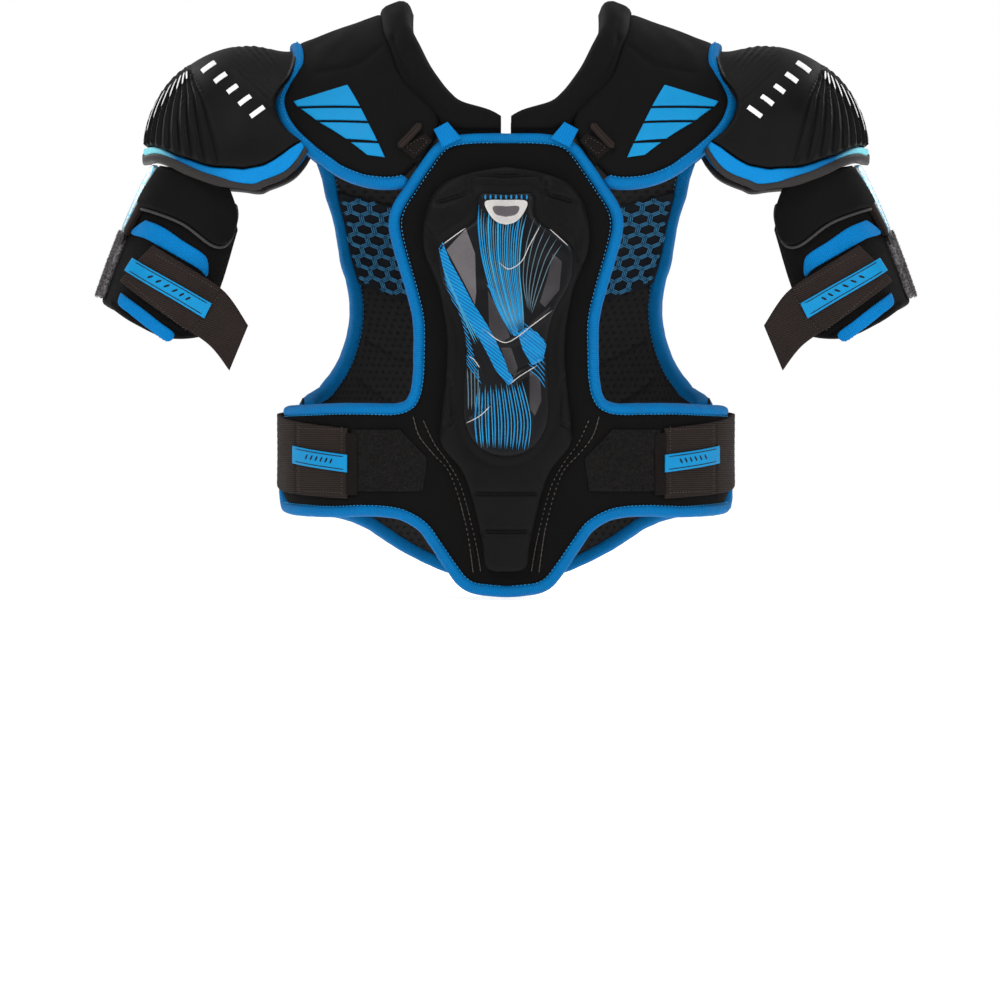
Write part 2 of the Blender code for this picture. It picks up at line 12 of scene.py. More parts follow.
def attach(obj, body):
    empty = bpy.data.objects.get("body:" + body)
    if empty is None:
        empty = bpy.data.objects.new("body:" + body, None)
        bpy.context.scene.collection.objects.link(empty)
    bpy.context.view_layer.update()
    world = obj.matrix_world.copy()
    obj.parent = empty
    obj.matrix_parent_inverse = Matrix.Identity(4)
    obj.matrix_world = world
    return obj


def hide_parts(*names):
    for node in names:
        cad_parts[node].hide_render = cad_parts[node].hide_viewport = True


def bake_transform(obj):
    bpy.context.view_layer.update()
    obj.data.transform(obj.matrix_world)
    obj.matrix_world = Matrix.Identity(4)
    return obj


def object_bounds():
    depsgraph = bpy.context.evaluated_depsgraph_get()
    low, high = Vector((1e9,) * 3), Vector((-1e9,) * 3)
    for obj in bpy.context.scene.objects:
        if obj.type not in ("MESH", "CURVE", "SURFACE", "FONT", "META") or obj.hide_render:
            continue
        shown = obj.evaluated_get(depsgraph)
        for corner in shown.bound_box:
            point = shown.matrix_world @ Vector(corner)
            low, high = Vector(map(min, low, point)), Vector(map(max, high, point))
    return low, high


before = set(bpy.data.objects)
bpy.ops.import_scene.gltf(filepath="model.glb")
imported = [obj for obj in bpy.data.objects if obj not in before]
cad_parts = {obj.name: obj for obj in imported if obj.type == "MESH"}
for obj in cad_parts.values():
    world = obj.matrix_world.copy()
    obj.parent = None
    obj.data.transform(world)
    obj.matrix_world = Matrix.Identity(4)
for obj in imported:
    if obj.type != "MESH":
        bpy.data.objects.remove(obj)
cad_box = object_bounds()

MM = 0.001
SEED = 11
RANDOM = np.random.default_rng(SEED)

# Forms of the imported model, in millimetres
TORSO_HALF_WIDTH = 181.0
CHEST_HALF_WIDTH = 252.0
WAIST_TOP = 165.0
ARMPIT_TOP = 335.0
TORSO_HALF_DEPTH = 115.0
SECTION_POWER = 2.3
TORSO_RADIUS = 150.0
ARCH_BASE = 250.0
NECK_HEIGHT = 474.0
NECK_HALF_WIDTH = 75.0
SHOULDER_SLOPE = 0.38
ARCH_POWER = 2.2
ARCH_LENGTH = 190.0
CAP_CENTRE = (-205.0, 0.0, 350.0)
CAP_REACH = 86.0
CAP_HALF_DEPTH = 90.0
CAP_RISE = 88.0
ARM_CENTRE = np.array((-258.0, 0.0, 280.0))
ARM_LEAN = math.radians(20.0)
ARM_HALF_WIDTH = 47.0
ARM_HALF_DEPTH = 60.0
ARM_RADIUS = 53.0
STRAP_LEAVES_ARM = math.radians(100.0)
FOAM = 14.0
STAND_OFF = 6.2

DOWN = np.array((-math.sin(ARM_LEAN), 0.0, -math.cos(ARM_LEAN)))
OUTWARD = np.array((-math.cos(ARM_LEAN), 0.0, math.sin(ARM_LEAN)))
FORWARD = np.array((0.0, -1.0, 0.0))


# --- forms -------------------------------------------------------------------------------------------

def smoothstep(low, high, value):
    t = np.clip((value - low) / (high - low), 0.0, 1.0)
    return t * t * (3.0 - 2.0 * t)


def half_width(z):
    return TORSO_HALF_WIDTH + (CHEST_HALF_WIDTH - TORSO_HALF_WIDTH) * smoothstep(WAIST_TOP, ARMPIT_TOP, z)


def shoulder_top(x):
    return NECK_HEIGHT - SHOULDER_SLOPE * (np.hypot(x, 20.0) - NECK_HALF_WIDTH)


def round_section(angle, power):
    s = np.sin(angle)
    c = np.cos(angle)
    rho = (np.abs(s) ** power + np.abs(c) ** power) ** (1.0 / power)
    return s / rho, c / rho


def torso_point(facing):
    def point(u, v):
        s, c = round_section(u / TORSO_RADIUS, SECTION_POWER)
        x = half_width(v) * s
        t = np.maximum(0.0, (v - ARCH_BASE) / (shoulder_top(x) - ARCH_BASE))
        closing = np.maximum(0.0, 1.0 - t ** ARCH_POWER) ** (1.0 / ARCH_POWER)
        return np.stack([x, facing * TORSO_HALF_DEPTH * closing * c, v], -1)
    return point


def shoulder_point(u, v):
    deep, high = round_section(v / ARCH_LENGTH * math.pi / 2.0, ARCH_POWER)
    z = ARCH_BASE + (shoulder_top(u) - ARCH_BASE) * high
    across = np.maximum(0.0, 1.0 - np.abs(u / half_width(z)) ** SECTION_POWER) ** (1.0 / SECTION_POWER)
    return np.stack([u + 0.0 * v, TORSO_HALF_DEPTH * deep * across, z], -1)


def cap_point(u, v):
    cx, cy, cz = CAP_CENTRE
    across = v / CAP_RISE
    inner = np.stack([cx + u, cy + CAP_HALF_DEPTH * np.sin(across), cz + CAP_RISE * np.cos(across)], -1)
    polar = np.hypot(u, v) / CAP_RISE
    turn = np.arctan2(v, u)
    outer = np.stack([cx + CAP_REACH * np.sin(polar) * np.cos(turn), cy
                      + CAP_HALF_DEPTH * np.sin(polar) * np.sin(turn), cz + CAP_RISE * np.cos(polar)], -1)
    return np.where((u >= 0.0)[..., None], inner, outer)


def arm_point(u, v):
    turn = u / ARM_RADIUS
    return (ARM_CENTRE + v[..., None] * DOWN + (ARM_HALF_WIDTH * np.cos(turn))[..., None] * OUTWARD
            + (ARM_HALF_DEPTH * np.sin(turn))[..., None] * FORWARD)


def arm_strap_point(u, v):
    leave = STRAP_LEAVES_ARM * ARM_RADIUS
    bound = np.minimum(u, leave)
    start = arm_point(bound, v)
    along = arm_point(bound, v) - arm_point(bound - 0.5, v)
    along = along / np.linalg.norm(along, axis=-1, keepdims=True)
    return start + np.maximum(0.0, u - leave)[..., None] * along


class Form:
    """A surface with a point and an outward normal at each (u, v), in millimetres, on the wearer's right."""

    def __init__(self, point, facing=1.0):
        self.point = point
        self.facing = facing

    def at(self, uv, lift=0.0):
        u, v = uv[:, 0], uv[:, 1]
        step = 0.5
        du = self.point(u + step, v) - self.point(u - step, v)
        dv = self.point(u, v + step) - self.point(u, v - step)
        normal = np.cross(du, dv)
        normal *= self.facing / np.maximum(1e-9, np.linalg.norm(normal, axis=1, keepdims=True))
        return self.point(u, v) + normal * np.broadcast_to(lift, u.shape)[:, None], normal


FRONT = Form(torso_point(-1.0))
BACK = Form(torso_point(1.0), -1.0)
SHOULDER = Form(shoulder_point)
CAP = Form(cap_point)
ARM = Form(arm_point, -1.0)
ARM_STRAP = Form(arm_strap_point, -1.0)


def torso_strap_point(u, v):
    place, normal = FRONT.at(np.stack([u, v], -1))
    step_in = 20.0 * smoothstep(81.0, 86.0, np.abs(np.degrees(u / TORSO_RADIUS)))
    return place - normal * step_in[:, None]


TORSO_STRAP = Form(torso_strap_point)


def on_torso(x, z):
    k = min(0.9995, abs(x) / float(half_width(z)))
    depth = (1.0 - k ** SECTION_POWER) ** (1.0 / SECTION_POWER)
    return math.copysign(math.atan2(k, depth) * TORSO_RADIUS, x), z


def at_side(degrees, z):
    return math.radians(degrees) * TORSO_RADIUS, z


def on_shoulder(x, z, facing=-1.0):
    high = min(1.0, (z - ARCH_BASE) / (float(shoulder_top(x)) - ARCH_BASE))
    deep = (1.0 - high ** ARCH_POWER) ** (1.0 / ARCH_POWER)
    return -abs(x), facing * math.atan2(deep, high) / (math.pi / 2.0) * ARCH_LENGTH


def on_cap(x, z):
    dx = -abs(x) - CAP_CENTRE[0]
    rise = (z - CAP_CENTRE[2]) / CAP_RISE
    polar = math.acos(max(-1.0, min(1.0, rise)))
    if dx >= 0.0:
        return dx, -polar * CAP_RISE
    across = max(-1.0, dx / CAP_REACH / math.sin(polar))
    return polar * CAP_RISE * across, -polar * CAP_RISE * math.sqrt(1.0 - across * across)


def on_arm(x, z):
    place = np.array((-abs(x), 0.0, z)) - ARM_CENTRE
    across = float(place @ OUTWARD)
    leave = ARM_HALF_WIDTH * math.cos(STRAP_LEAVES_ARM)
    if across < leave:
        return STRAP_LEAVES_ARM * ARM_RADIUS + leave - across, float(place @ DOWN)
    return math.acos(min(1.0, across / ARM_HALF_WIDTH)) * ARM_RADIUS, float(place @ DOWN)


def around_arm(degrees, along):
    return math.radians(degrees) * ARM_RADIUS, along


# --- paths -------------------------------------------------------------------------------------------

def resample(fine, step):
    length = np.concatenate([[0.0], np.cumsum(np.linalg.norm(np.diff(fine, axis=0), axis=1))])
    count = max(1, round(length[-1] / step))
    t = np.linspace(0.0, length[-1], count + 1)
    return np.stack([np.interp(t, length, fine[:, k]) for k in range(fine.shape[1])], -1)


def curve(points, step=3.0):
    """A soft curve through the points, with places about one step apart."""
    p = np.array(points, float)
    if len(p) == 2:
        return resample(p, step)
    padded = np.vstack([p[:1], p, p[-1:]])
    t = np.linspace(0.0, 1.0, 16, endpoint=False)[:, None]
    runs = []
    for p0, p1, p2, p3 in zip(padded, padded[1:], padded[2:], padded[3:]):
        runs.append(0.5 * (2.0 * p1 + (p2 - p0) * t + (2.0 * p0 - 5.0 * p1 + 4.0 * p2 - p3) * t * t
                           + (3.0 * p1 - p0 - 3.0 * p2 + p3) * t ** 3))
    return resample(np.vstack(runs + [p[-1:]]), step)


def corners(points, step=3.0):
    """Straight runs between the points, closed."""
    return join(*[curve([a, b], step) for a, b in zip(points, list(points[1:]) + [points[0]])])


def laid(place, points, step=3.0):
    """A soft curve through points that a function lays on a form."""
    return curve([place(*p) for p in points], step)


def cut_out(place, points, step=3.0):
    """A closed outline with straight sides between points that a function lays on a form."""
    return corners([place(*p) for p in points], step)


def join(*runs):
    path = []
    for run in runs:
        for place in np.asarray(run, float):
            if not path or np.linalg.norm(place - path[-1]) > 0.3:
                path.append(place)
    if np.linalg.norm(path[0] - path[-1]) < 0.3:
        path.pop()
    return np.array(path)


def mirrored(path):
    return np.asarray(path, float)[::-1] * (-1.0, 1.0)


def to_back(path):
    return np.asarray(path, float)[::-1] * (1.0, -1.0)


def both_sides(half):
    return join(half, mirrored(half))


def front_to_back(half):
    return join(half, to_back(half))


def strip(upper, lower):
    return join(lower, to_back(lower), to_back(upper)[::-1], upper[::-1])


def stand_off(path, distance):
    along = np.gradient(path, axis=0)
    left = np.stack([-along[:, 1], along[:, 0]], -1)
    return path + left / np.linalg.norm(left, axis=1, keepdims=True) * distance


def distance_to(points, path, closed=False):
    a = path if closed else path[:-1]
    b = np.roll(path, -1, axis=0) if closed else path[1:]
    run = b - a
    best = []
    for part in np.array_split(points, max(1, len(points) // 1500)):
        to = part[:, None, :] - a[None]
        t = np.clip((to * run).sum(-1) / np.maximum(1e-12, (run * run).sum(-1)), 0.0, 1.0)
        best.append(np.linalg.norm(to - run * t[..., None], axis=-1).min(1))
    return np.concatenate(best) if best else np.zeros(0)


def inside(points, outline):
    a = outline
    b = np.roll(outline, -1, axis=0)
    slope = (b[:, 0] - a[:, 0]) / np.where(a[:, 1] == b[:, 1], 1e-12, b[:, 1] - a[:, 1])
    found = []
    for part in np.array_split(points, max(1, len(points) // 1500)):
        x, y = part[:, :1], part[:, 1:]
        crossing = ((a[:, 1] > y) != (b[:, 1] > y)) & (x < slope * (y - a[:, 1]) + a[:, 0])
        found.append(crossing.sum(1) % 2 == 1)
    return np.concatenate(found) if found else np.zeros(0, bool)


# --- shells: points, faces and a cloth coordinate in millimetres --------------------------------------

class Shell:
    def __init__(self, points, faces, cloth):
        self.points = points
        self.faces = faces
        self.cloth = cloth

    def __add__(self, other):
        shift = len(self.points)
        return Shell(np.vstack([self.points, other.points]), self.faces
                     + [tuple(i + shift for i in face) for face in other.faces],
                     np.vstack([self.cloth, other.cloth]))


def total(shells):
    """One shell of all that are given, leaving out the empty ones."""
    shells = [s for s in shells if s is not None]
    points = np.vstack([s.points for s in shells])
    cloth = np.vstack([s.cloth for s in shells])
    faces = []
    shift = 0
    for s in shells:
        faces += [tuple(i + shift for i in face) for face in s.faces]
        shift += len(s.points)
    return Shell(points, faces, cloth)


def channel(uv, lines):
    """How deep the sewn or moulded channels cut at each place."""
    cut = np.zeros(len(uv))
    for path, width, depth in lines:
        cut = np.maximum(cut, depth * np.exp(-(distance_to(uv, path) / width) ** 2))
    return cut


def plate(form, outline, inner, outer, spacing=4.0, roll=3.0, round_over=None, under=1.5, lines=(), under_lines=(),
          rise=None):
    """A padded sheet of the form inside the outline, rolled over at its edges, with channels in it."""
    middle = outline.mean(0)
    area = 0.5 * np.sum(outline[:, 0] * np.roll(outline[:, 1], -1) - np.roll(outline[:, 0], -1) * outline[:, 1])
    along = np.roll(outline, -1, axis=0) - np.roll(outline, 1, axis=0)
    inward = np.stack([-along[:, 1], along[:, 0]], -1) * math.copysign(1.0, area)
    inward /= np.maximum(1e-9, np.linalg.norm(inward, axis=1, keepdims=True))
    extra = []
    for share in (0.12, 0.4, 0.8):
        ring = outline + inward * roll * share
        near = distance_to(ring, outline, True)
        extra.append(ring[(near > 0.85 * roll * share) & inside(ring, outline)])
    for path, width, _ in list(lines) + list(under_lines):
        for side in (-1.7, -0.7, 0.0, 0.7, 1.7):
            run = stand_off(resample(path, max(1.5, spacing * 0.7)), side * width)
            near = distance_to(run, outline, True)
            extra.append(run[(near > 0.4 + 0.5 * roll) & inside(run, outline)])
    low = outline.min(0)
    high = outline.max(0)
    columns = np.arange(low[0] - middle[0], high[0] - middle[0] + spacing, spacing)
    rows = np.arange(low[1], high[1] + spacing, spacing * 0.87)
    grid = np.stack(np.meshgrid(columns, rows), -1)
    grid[1::2, :, 0] += spacing / 2.0
    grid[:, :, 0] += middle[0]
    grid = grid.reshape(-1, 2)
    grid = grid[inside(grid, outline)]
    grid = grid[distance_to(grid, outline, True) > roll * 0.8 + 0.3 * spacing]
    for path, width, _ in list(lines) + list(under_lines):
        grid = grid[distance_to(grid, path) > 1.7 * width + 0.35 * spacing]
    places = np.vstack([outline] + extra + [grid])
    verts, _, faces, _, _, _ = delaunay_2d_cdt([Vector(p) for p in places], [], [list(range(len(outline)))], 1,
                                               1e-3)
    uv = np.array([tuple(p) for p in verts])
    near = distance_to(uv, outline, True)
    thick = outer - inner
    height = min(thick * 0.5, roll) if round_over is None else round_over
    fall = height * (1.0 - np.sqrt(np.maximum(0.0, 1.0 - (1.0 - np.minimum(1.0, near / roll)) ** 2)))
    fall_under = under * (1.0 - np.minimum(1.0, near / max(under, 0.1) / 1.5)) ** 2
    top_lift = outer - fall - channel(uv, lines)
    low_lift = inner + fall_under + channel(uv, under_lines)
    if rise is not None:
        top_lift = top_lift + rise(uv) * smoothstep(0.0, roll, near)
    top = form.at(uv, top_lift)[0]
    bottom = form.at(uv, low_lift)[0]
    count = len(uv)
    made = []
    edges = set()
    for face in faces:
        face = tuple(face)
        made.append(face if form.facing > 0.0 else face[::-1])
        made.append(tuple(i + count for i in (face[::-1] if form.facing > 0.0 else face)))
        for a, b in zip(face, face[1:] + face[:1]):
            edges.add((a, b))
    for a, b in edges:
        if (b, a) not in edges:
            wall = (b, a, a + count, b + count)
            made.append(wall if form.facing > 0.0 else wall[::-1])
    return Shell(np.vstack([top, bottom]), made, np.vstack([uv, uv]))


def tube(form, path, lift, wide, deep, sides=12, square=1.0):
    """A round or flattened strip along the path, with rounded ends."""
    lift = np.broadcast_to(lift, len(path)).astype(float)
    centre, normal = form.at(path, lift)
    along = np.gradient(centre, axis=0)
    across = np.cross(normal, along)
    across /= np.maximum(1e-9, np.linalg.norm(across, axis=1, keepdims=True))
    length = np.concatenate([[0.0], np.cumsum(np.linalg.norm(np.diff(centre, axis=0), axis=1))])
    wide = np.broadcast_to(wide, len(path)).astype(float)
    deep = np.broadcast_to(deep, len(path)).astype(float)
    end = np.minimum(length, length[-1] - length)
    close = np.sqrt(np.maximum(0.02, 1.0 - (1.0 - np.minimum(1.0, end / np.maximum(0.3, wide))) ** 2))
    wide = wide * close
    deep = deep * close
    turn = 2.0 * math.pi * (np.arange(sides) + 0.5) / sides
    c = np.sign(np.cos(turn)) * np.abs(np.cos(turn)) ** square
    s = np.sign(np.sin(turn)) * np.abs(np.sin(turn)) ** square
    points = (centre[:, None, :] + across[:, None, :] * (wide[:, None] * c)[..., None]
              + normal[:, None, :] * (deep[:, None] * s)[..., None])
    cloth = np.stack(np.broadcast_arrays(length[:, None], turn[None] * np.mean(wide)), -1)
    count = len(path)
    faces = []
    for i in range(count - 1):
        n = i + 1
        for k in range(sides):
            m = (k + 1) % sides
            faces.append((i * sides + k, i * sides + m, n * sides + m, n * sides + k))
    faces.append(tuple(range(sides))[::-1])
    faces.append(tuple(range((count - 1) * sides, count * sides)))
    return Shell(points.reshape(-1, 3), faces, cloth.reshape(-1, 2))


def grains(start, end, side, lift, thick):
    """Small spindles, such as stitches and fibres, from start to end."""
    middle = (start + end) / 2.0 + lift * thick
    ring = [middle + side * thick, middle + lift * thick, middle - side * thick, middle - lift * thick]
    points = np.stack([start, end] + ring, 1)
    count = len(start)
    faces = []
    for i in range(count):
        n = 6 * i
        for k in range(4):
            a = n + 2 + k
            b = n + 2 + (k + 1) % 4
            faces.append((n, b, a))
            faces.append((n + 1, a, b))
    cloth = np.repeat(start[:, :2], 6, axis=0)
    return Shell(points.reshape(-1, 3), faces, cloth)


def stitches(form, path, lift, length=2.4, gap=1.3, thick=0.42):
    """A row of stitches along the path."""
    pitch = length + gap
    fine = resample(path, 0.5)
    run = np.concatenate([[0.0], np.cumsum(np.linalg.norm(np.diff(form.at(fine, lift)[0], axis=0), axis=1))])
    count = max(1, int(run[-1] / pitch))
    at = (np.arange(count) + 0.5) * run[-1] / count
    place = np.stack([np.interp(at, run, fine[:, k]) for k in range(2)], -1)
    if callable(lift):
        lift = lift(place)
    if len(np.shape(lift)):
        lift = np.interp(at, run, np.broadcast_to(lift, len(run)))
    ahead = np.stack([np.interp(at + 0.5, run, fine[:, k]) for k in range(2)], -1)
    behind = np.stack([np.interp(at - 0.5, run, fine[:, k]) for k in range(2)], -1)
    centre, normal = form.at(place, lift)
    along = form.at(ahead, lift)[0] - form.at(behind, lift)[0]
    along /= np.maximum(1e-9, np.linalg.norm(along, axis=1, keepdims=True))
    across = np.cross(normal, along)
    return grains(centre - along * length / 2.0, centre + along * length / 2.0, across, normal, thick)


def fuzz(form, places, lift, length, thick, lean=0.7):
    centre, normal = form.at(places, lift)
    way = RANDOM.normal(size=centre.shape) * lean + normal
    way /= np.linalg.norm(way, axis=1, keepdims=True)
    side = np.cross(way, RANDOM.normal(size=centre.shape))
    side /= np.maximum(1e-9, np.linalg.norm(side, axis=1, keepdims=True))
    size = length * RANDOM.uniform(0.5, 1.0, (len(centre), 1))
    return grains(centre, centre + way * size, side, np.cross(side, way), thick)


def scattered(outline, count, margin=0.5):
    low = outline.min(0)
    high = outline.max(0)
    places = RANDOM.uniform(low, high, (count * 3, 2))
    places = places[inside(places, outline)]
    places = places[distance_to(places, outline, True) > margin]
    return places[:count]


def lumps(scale, height, seed=0.0):
    """A soft uneven surface, made of a few crossed waves."""
    def rise(uv):
        u, v = uv[:, 0] / scale + seed, uv[:, 1] / scale + seed * 1.7
        return height * (np.sin(u * 2.1 + 1.3 * np.sin(v * 1.7)) * np.cos(v * 1.9 + np.sin(u * 1.3))
                         + 0.5 * np.sin(u * 4.7 - v * 3.9 + seed))
    return rise


# --- materials ---------------------------------------------------------------------------------------

class Shader:
    """A Principled material with a few node shortcuts."""

    def __init__(self, name, roughness=0.7, specular=0.35, sheen=0.0, coat=0.0, metallic=0.0):
        self.made = bpy.data.materials.new(name)
        self.made.use_nodes = True
        self.tree = self.made.node_tree
        self.body = self.tree.nodes["Principled BSDF"]
        self.body.inputs["Roughness"].default_value = roughness
        self.body.inputs["Specular IOR Level"].default_value = specular
        self.body.inputs["Sheen Weight"].default_value = sheen
        self.body.inputs["Sheen Roughness"].default_value = 0.45
        self.body.inputs["Coat Weight"].default_value = coat
        self.body.inputs["Coat Roughness"].default_value = 0.12
        self.body.inputs["Metallic"].default_value = metallic
        self.where = self.tree.nodes.new("ShaderNodeTexCoord")
        self.cloth = self.tree.nodes.new("ShaderNodeSeparateXYZ")
        self.tree.links.new(self.where.outputs["UV"], self.cloth.inputs[0])
        self.room = self.tree.nodes.new("ShaderNodeSeparateXYZ")
        self.tree.links.new(self.where.outputs["Object"], self.room.inputs[0])

    def math(self, operation, *values, clamp=False):
        node = self.tree.nodes.new("ShaderNodeMath")
        node.operation = operation
        node.use_clamp = clamp
        for socket, value in zip(node.inputs, values):
            if isinstance(value, (int, float)):
                socket.default_value = value
            else:
                self.tree.links.new(value, socket)
        return node.outputs[0]

    def wave(self, source, pitch):
        """0 to 1 and back once every pitch of the source."""
        turned = self.math("MULTIPLY_ADD", source, 2.0 * math.pi / pitch, 0.0)
        return self.math("MULTIPLY_ADD", self.math("SINE", turned), 0.5, 0.5)

    def noise(self, scale, detail=3.0):
        node = self.tree.nodes.new("ShaderNodeTexNoise")
        node.inputs["Scale"].default_value = scale
        node.inputs["Detail"].default_value = detail
        self.tree.links.new(self.where.outputs["Object"], node.inputs["Vector"])
        return node.outputs["Fac"]

    def cells(self, scale):
        node = self.tree.nodes.new("ShaderNodeTexVoronoi")
        node.inputs["Scale"].default_value = scale
        node.inputs["Randomness"].default_value = 1.0
        self.tree.links.new(self.where.outputs["Object"], node.inputs["Vector"])
        return node.outputs["Distance"]

    def mix(self, share, first, second):
        node = self.tree.nodes.new("ShaderNodeMix")
        node.data_type = "RGBA"
        for socket, value in zip((node.inputs[0], node.inputs[6], node.inputs[7]), (share, first, second)):
            if isinstance(value, tuple):
                socket.default_value = (*value, 1.0)
            elif isinstance(value, (int, float)):
                socket.default_value = value
            else:
                self.tree.links.new(value, socket)
        return node.outputs[2]

    def ramp(self, source, low, high, first=0.0, second=1.0):
        node = self.tree.nodes.new("ShaderNodeMapRange")
        self.tree.links.new(source, node.inputs[0])
        for socket, value in zip(node.inputs[1:5], (low, high, first, second)):
            socket.default_value = value
        return node.outputs[0]

    def colour(self, value):
        self.tree.links.new(value, self.body.inputs["Base Color"])

    def rough(self, value):
        self.tree.links.new(value, self.body.inputs["Roughness"])

    def bump(self, height, strength=0.4, distance=0.0006):
        node = self.tree.nodes.new("ShaderNodeBump")
        node.inputs["Strength"].default_value = strength
        node.inputs["Distance"].default_value = distance
        self.tree.links.new(height, node.inputs["Height"])
        self.tree.links.new(node.outputs[0], self.body.inputs["Normal"])


def woven(name, light, dark, pitch=1.1, roughness=0.75, sheen=0.15, strength=0.4, specular=0.3):
    """Plain weave along the cloth, with soft patches of tone."""
    s = Shader(name, roughness, specular, sheen)
    over = s.wave(s.cloth.outputs[0], pitch)
    under = s.wave(s.cloth.outputs[1], pitch)
    weave = s.math("ADD", s.math("MULTIPLY", over, under),
                   s.math("MULTIPLY", s.math("SUBTRACT", 1.0, over), s.math("SUBTRACT", 1.0, under)))
    patch = s.noise(38.0, 4.0)
    share = s.math("ADD", s.math("MULTIPLY", weave, 0.55), s.math("MULTIPLY", patch, 0.5), clamp=True)
    s.colour(s.mix(share, dark, light))
    s.rough(s.ramp(patch, 0.3, 0.7, roughness - 0.08, roughness + 0.08))
    s.bump(s.math("ADD", weave, s.math("MULTIPLY", s.noise(900.0, 2.0), 0.5)), strength)
    return s.made


def ribbed(name, light, dark, pitch=1.6, across=0.9, roughness=0.7, sheen=0.1, strength=0.6, ways=(1, 0),
           specular=0.3):
    """Webbing or bias tape: ribs one way, yarns crossing them the other way."""
    s = Shader(name, roughness, specular, sheen)
    rib = s.wave(s.cloth.outputs[ways[0]], pitch)
    yarn = s.wave(s.cloth.outputs[ways[1]], across)
    height = s.math("ADD", s.math("MULTIPLY", rib, 0.75), s.math("MULTIPLY", s.math("MULTIPLY", yarn, rib), 0.45))
    patch = s.noise(55.0, 4.0)
    share = s.math("ADD", s.math("MULTIPLY", height, 0.55), s.math("MULTIPLY", patch, 0.45), clamp=True)
    s.colour(s.mix(share, dark, light))
    s.rough(s.ramp(patch, 0.3, 0.7, roughness - 0.08, roughness + 0.1))
    s.bump(height, strength, 0.0005)
    return s.made


def netted(name, light, dark, pitch=4.6, roughness=0.8, strength=0.9, sheen=0.1):
    """Embossed spacer mesh: rows of small round holes, with painted shade darkening the colour inside them."""
    s = Shader(name, roughness, 0.3, sheen)
    u, v = s.cloth.outputs[0], s.cloth.outputs[1]
    waves = [s.wave(v, pitch * 0.87)]
    for sign in (1.0, -1.0):
        waves.append(s.wave(s.math("MULTIPLY_ADD", u, sign * 0.87, s.math("MULTIPLY", v, 0.5)), pitch * 0.87))
    holes = s.math("MULTIPLY", s.math("MULTIPLY", waves[0], waves[1]), waves[2])
    holes_and_shade = s.ramp(holes, 0.12, 0.42)
    grain = s.noise(260.0, 3.0)
    # Colour darkened inside the holes: painted shade.
    s.colour(s.mix(s.math("MULTIPLY_ADD", grain, 0.35, s.math("MULTIPLY", holes_and_shade, 0.7), clamp=True), light,
                   dark))
    s.bump(s.math("SUBTRACT", s.math("MULTIPLY", grain, 0.3), holes_and_shade), strength, 0.0009)
    return s.made


def moulded(name, light, dark, roughness=0.5, specular=0.4, coat=0.0, grain=700.0, strength=0.15, sheen=0.0):
    """Moulded foam, rubber or plastic: fine grain, slow changes of tone, and roughness that changes slowly from
    place to place.
    """
    s = Shader(name, roughness, specular, sheen, coat)
    slow = s.noise(24.0, 5.0)
    fine = s.noise(grain, 3.0)
    s.colour(s.mix(s.ramp(s.math("MULTIPLY_ADD", fine, 0.35, slow), 0.35, 1.0), dark, light))
    s.rough(s.ramp(slow, 0.3, 0.7, max(0.05, roughness - 0.1), roughness + 0.12))
    s.bump(fine, strength, 0.0004)
    return s.made


def printed(name, light, dark, roughness=0.4, coat=0.2, pitch=1.3, lined=0.3, specular=0.15):
    """Ink film: a slight diagonal texture under a thin clear coat."""
    s = Shader(name, roughness, specular, 0.0, coat)
    slant = s.math("ADD", s.cloth.outputs[0], s.cloth.outputs[1])
    line = s.wave(slant, pitch)
    patch = s.noise(60.0, 4.0)
    s.colour(s.mix(s.math("MULTIPLY_ADD", line, lined, s.math("MULTIPLY", patch, 1.0 - lined), clamp=True), dark,
                   light))
    s.rough(s.ramp(patch, 0.3, 0.7, roughness - 0.08, roughness + 0.1))
    s.bump(line, 0.12, 0.0003)
    return s.made


def speckled(name, light, dark, scale=520.0, roughness=0.9, sheen=0.3):
    s = Shader(name, roughness, 0.2, sheen)
    spots = s.ramp(s.noise(scale, 2.0), 0.42, 0.6)
    s.colour(s.mix(s.math("MULTIPLY_ADD", s.noise(70.0, 3.0), 0.4, s.math("MULTIPLY", spots, 0.7), clamp=True),
                   dark, light))
    s.bump(s.noise(scale * 0.8, 3.0), 0.7, 0.0012)
    return s.made


def banded_blue(name):
    """Cap band: pale at its outer end, with a fine diamond texture, and deep blue at the middle."""
    s = Shader(name, 0.5, 0.08, 0.0)
    out = s.math("ABSOLUTE", s.room.outputs[0])
    end = s.ramp(out, 0.262, 0.284)
    deep = s.ramp(out, 0.215, 0.262, 0.0, 1.0)
    one = s.wave(s.math("ADD", s.cloth.outputs[0], s.cloth.outputs[1]), 2.4)
    two = s.wave(s.math("SUBTRACT", s.cloth.outputs[0], s.cloth.outputs[1]), 2.4)
    diamond = s.math("MULTIPLY", one, two)
    middle = s.mix(deep, (0.0006, 0.185, 0.48), (0.0004, 0.080, 0.22))
    pale = s.mix(s.ramp(diamond, 0.15, 0.6), (0.25, 0.68, 0.72), (0.03, 0.34, 0.50))
    s.colour(s.mix(end, s.mix(s.math("MULTIPLY", diamond, 0.35), middle, (0.001, 0.09, 0.26)), pale))
    s.bump(diamond, 0.35, 0.0004)
    return s.made


def reflective(name):
    """Silver film printed with small pale blue flecks."""
    s = Shader(name, 0.32, 0.5, 0.0, 0.2, 0.55)
    spots = s.cells(620.0)
    fleck = s.ramp(s.noise(480.0, 2.0), 0.5, 0.58)
    base = s.mix(s.ramp(spots, 0.2, 0.6), (0.62, 0.72, 0.75), (0.30, 0.36, 0.40))
    s.colour(s.mix(fleck, base, (0.03, 0.42, 0.62)))
    s.bump(spots, 0.4, 0.0004)
    return s.made


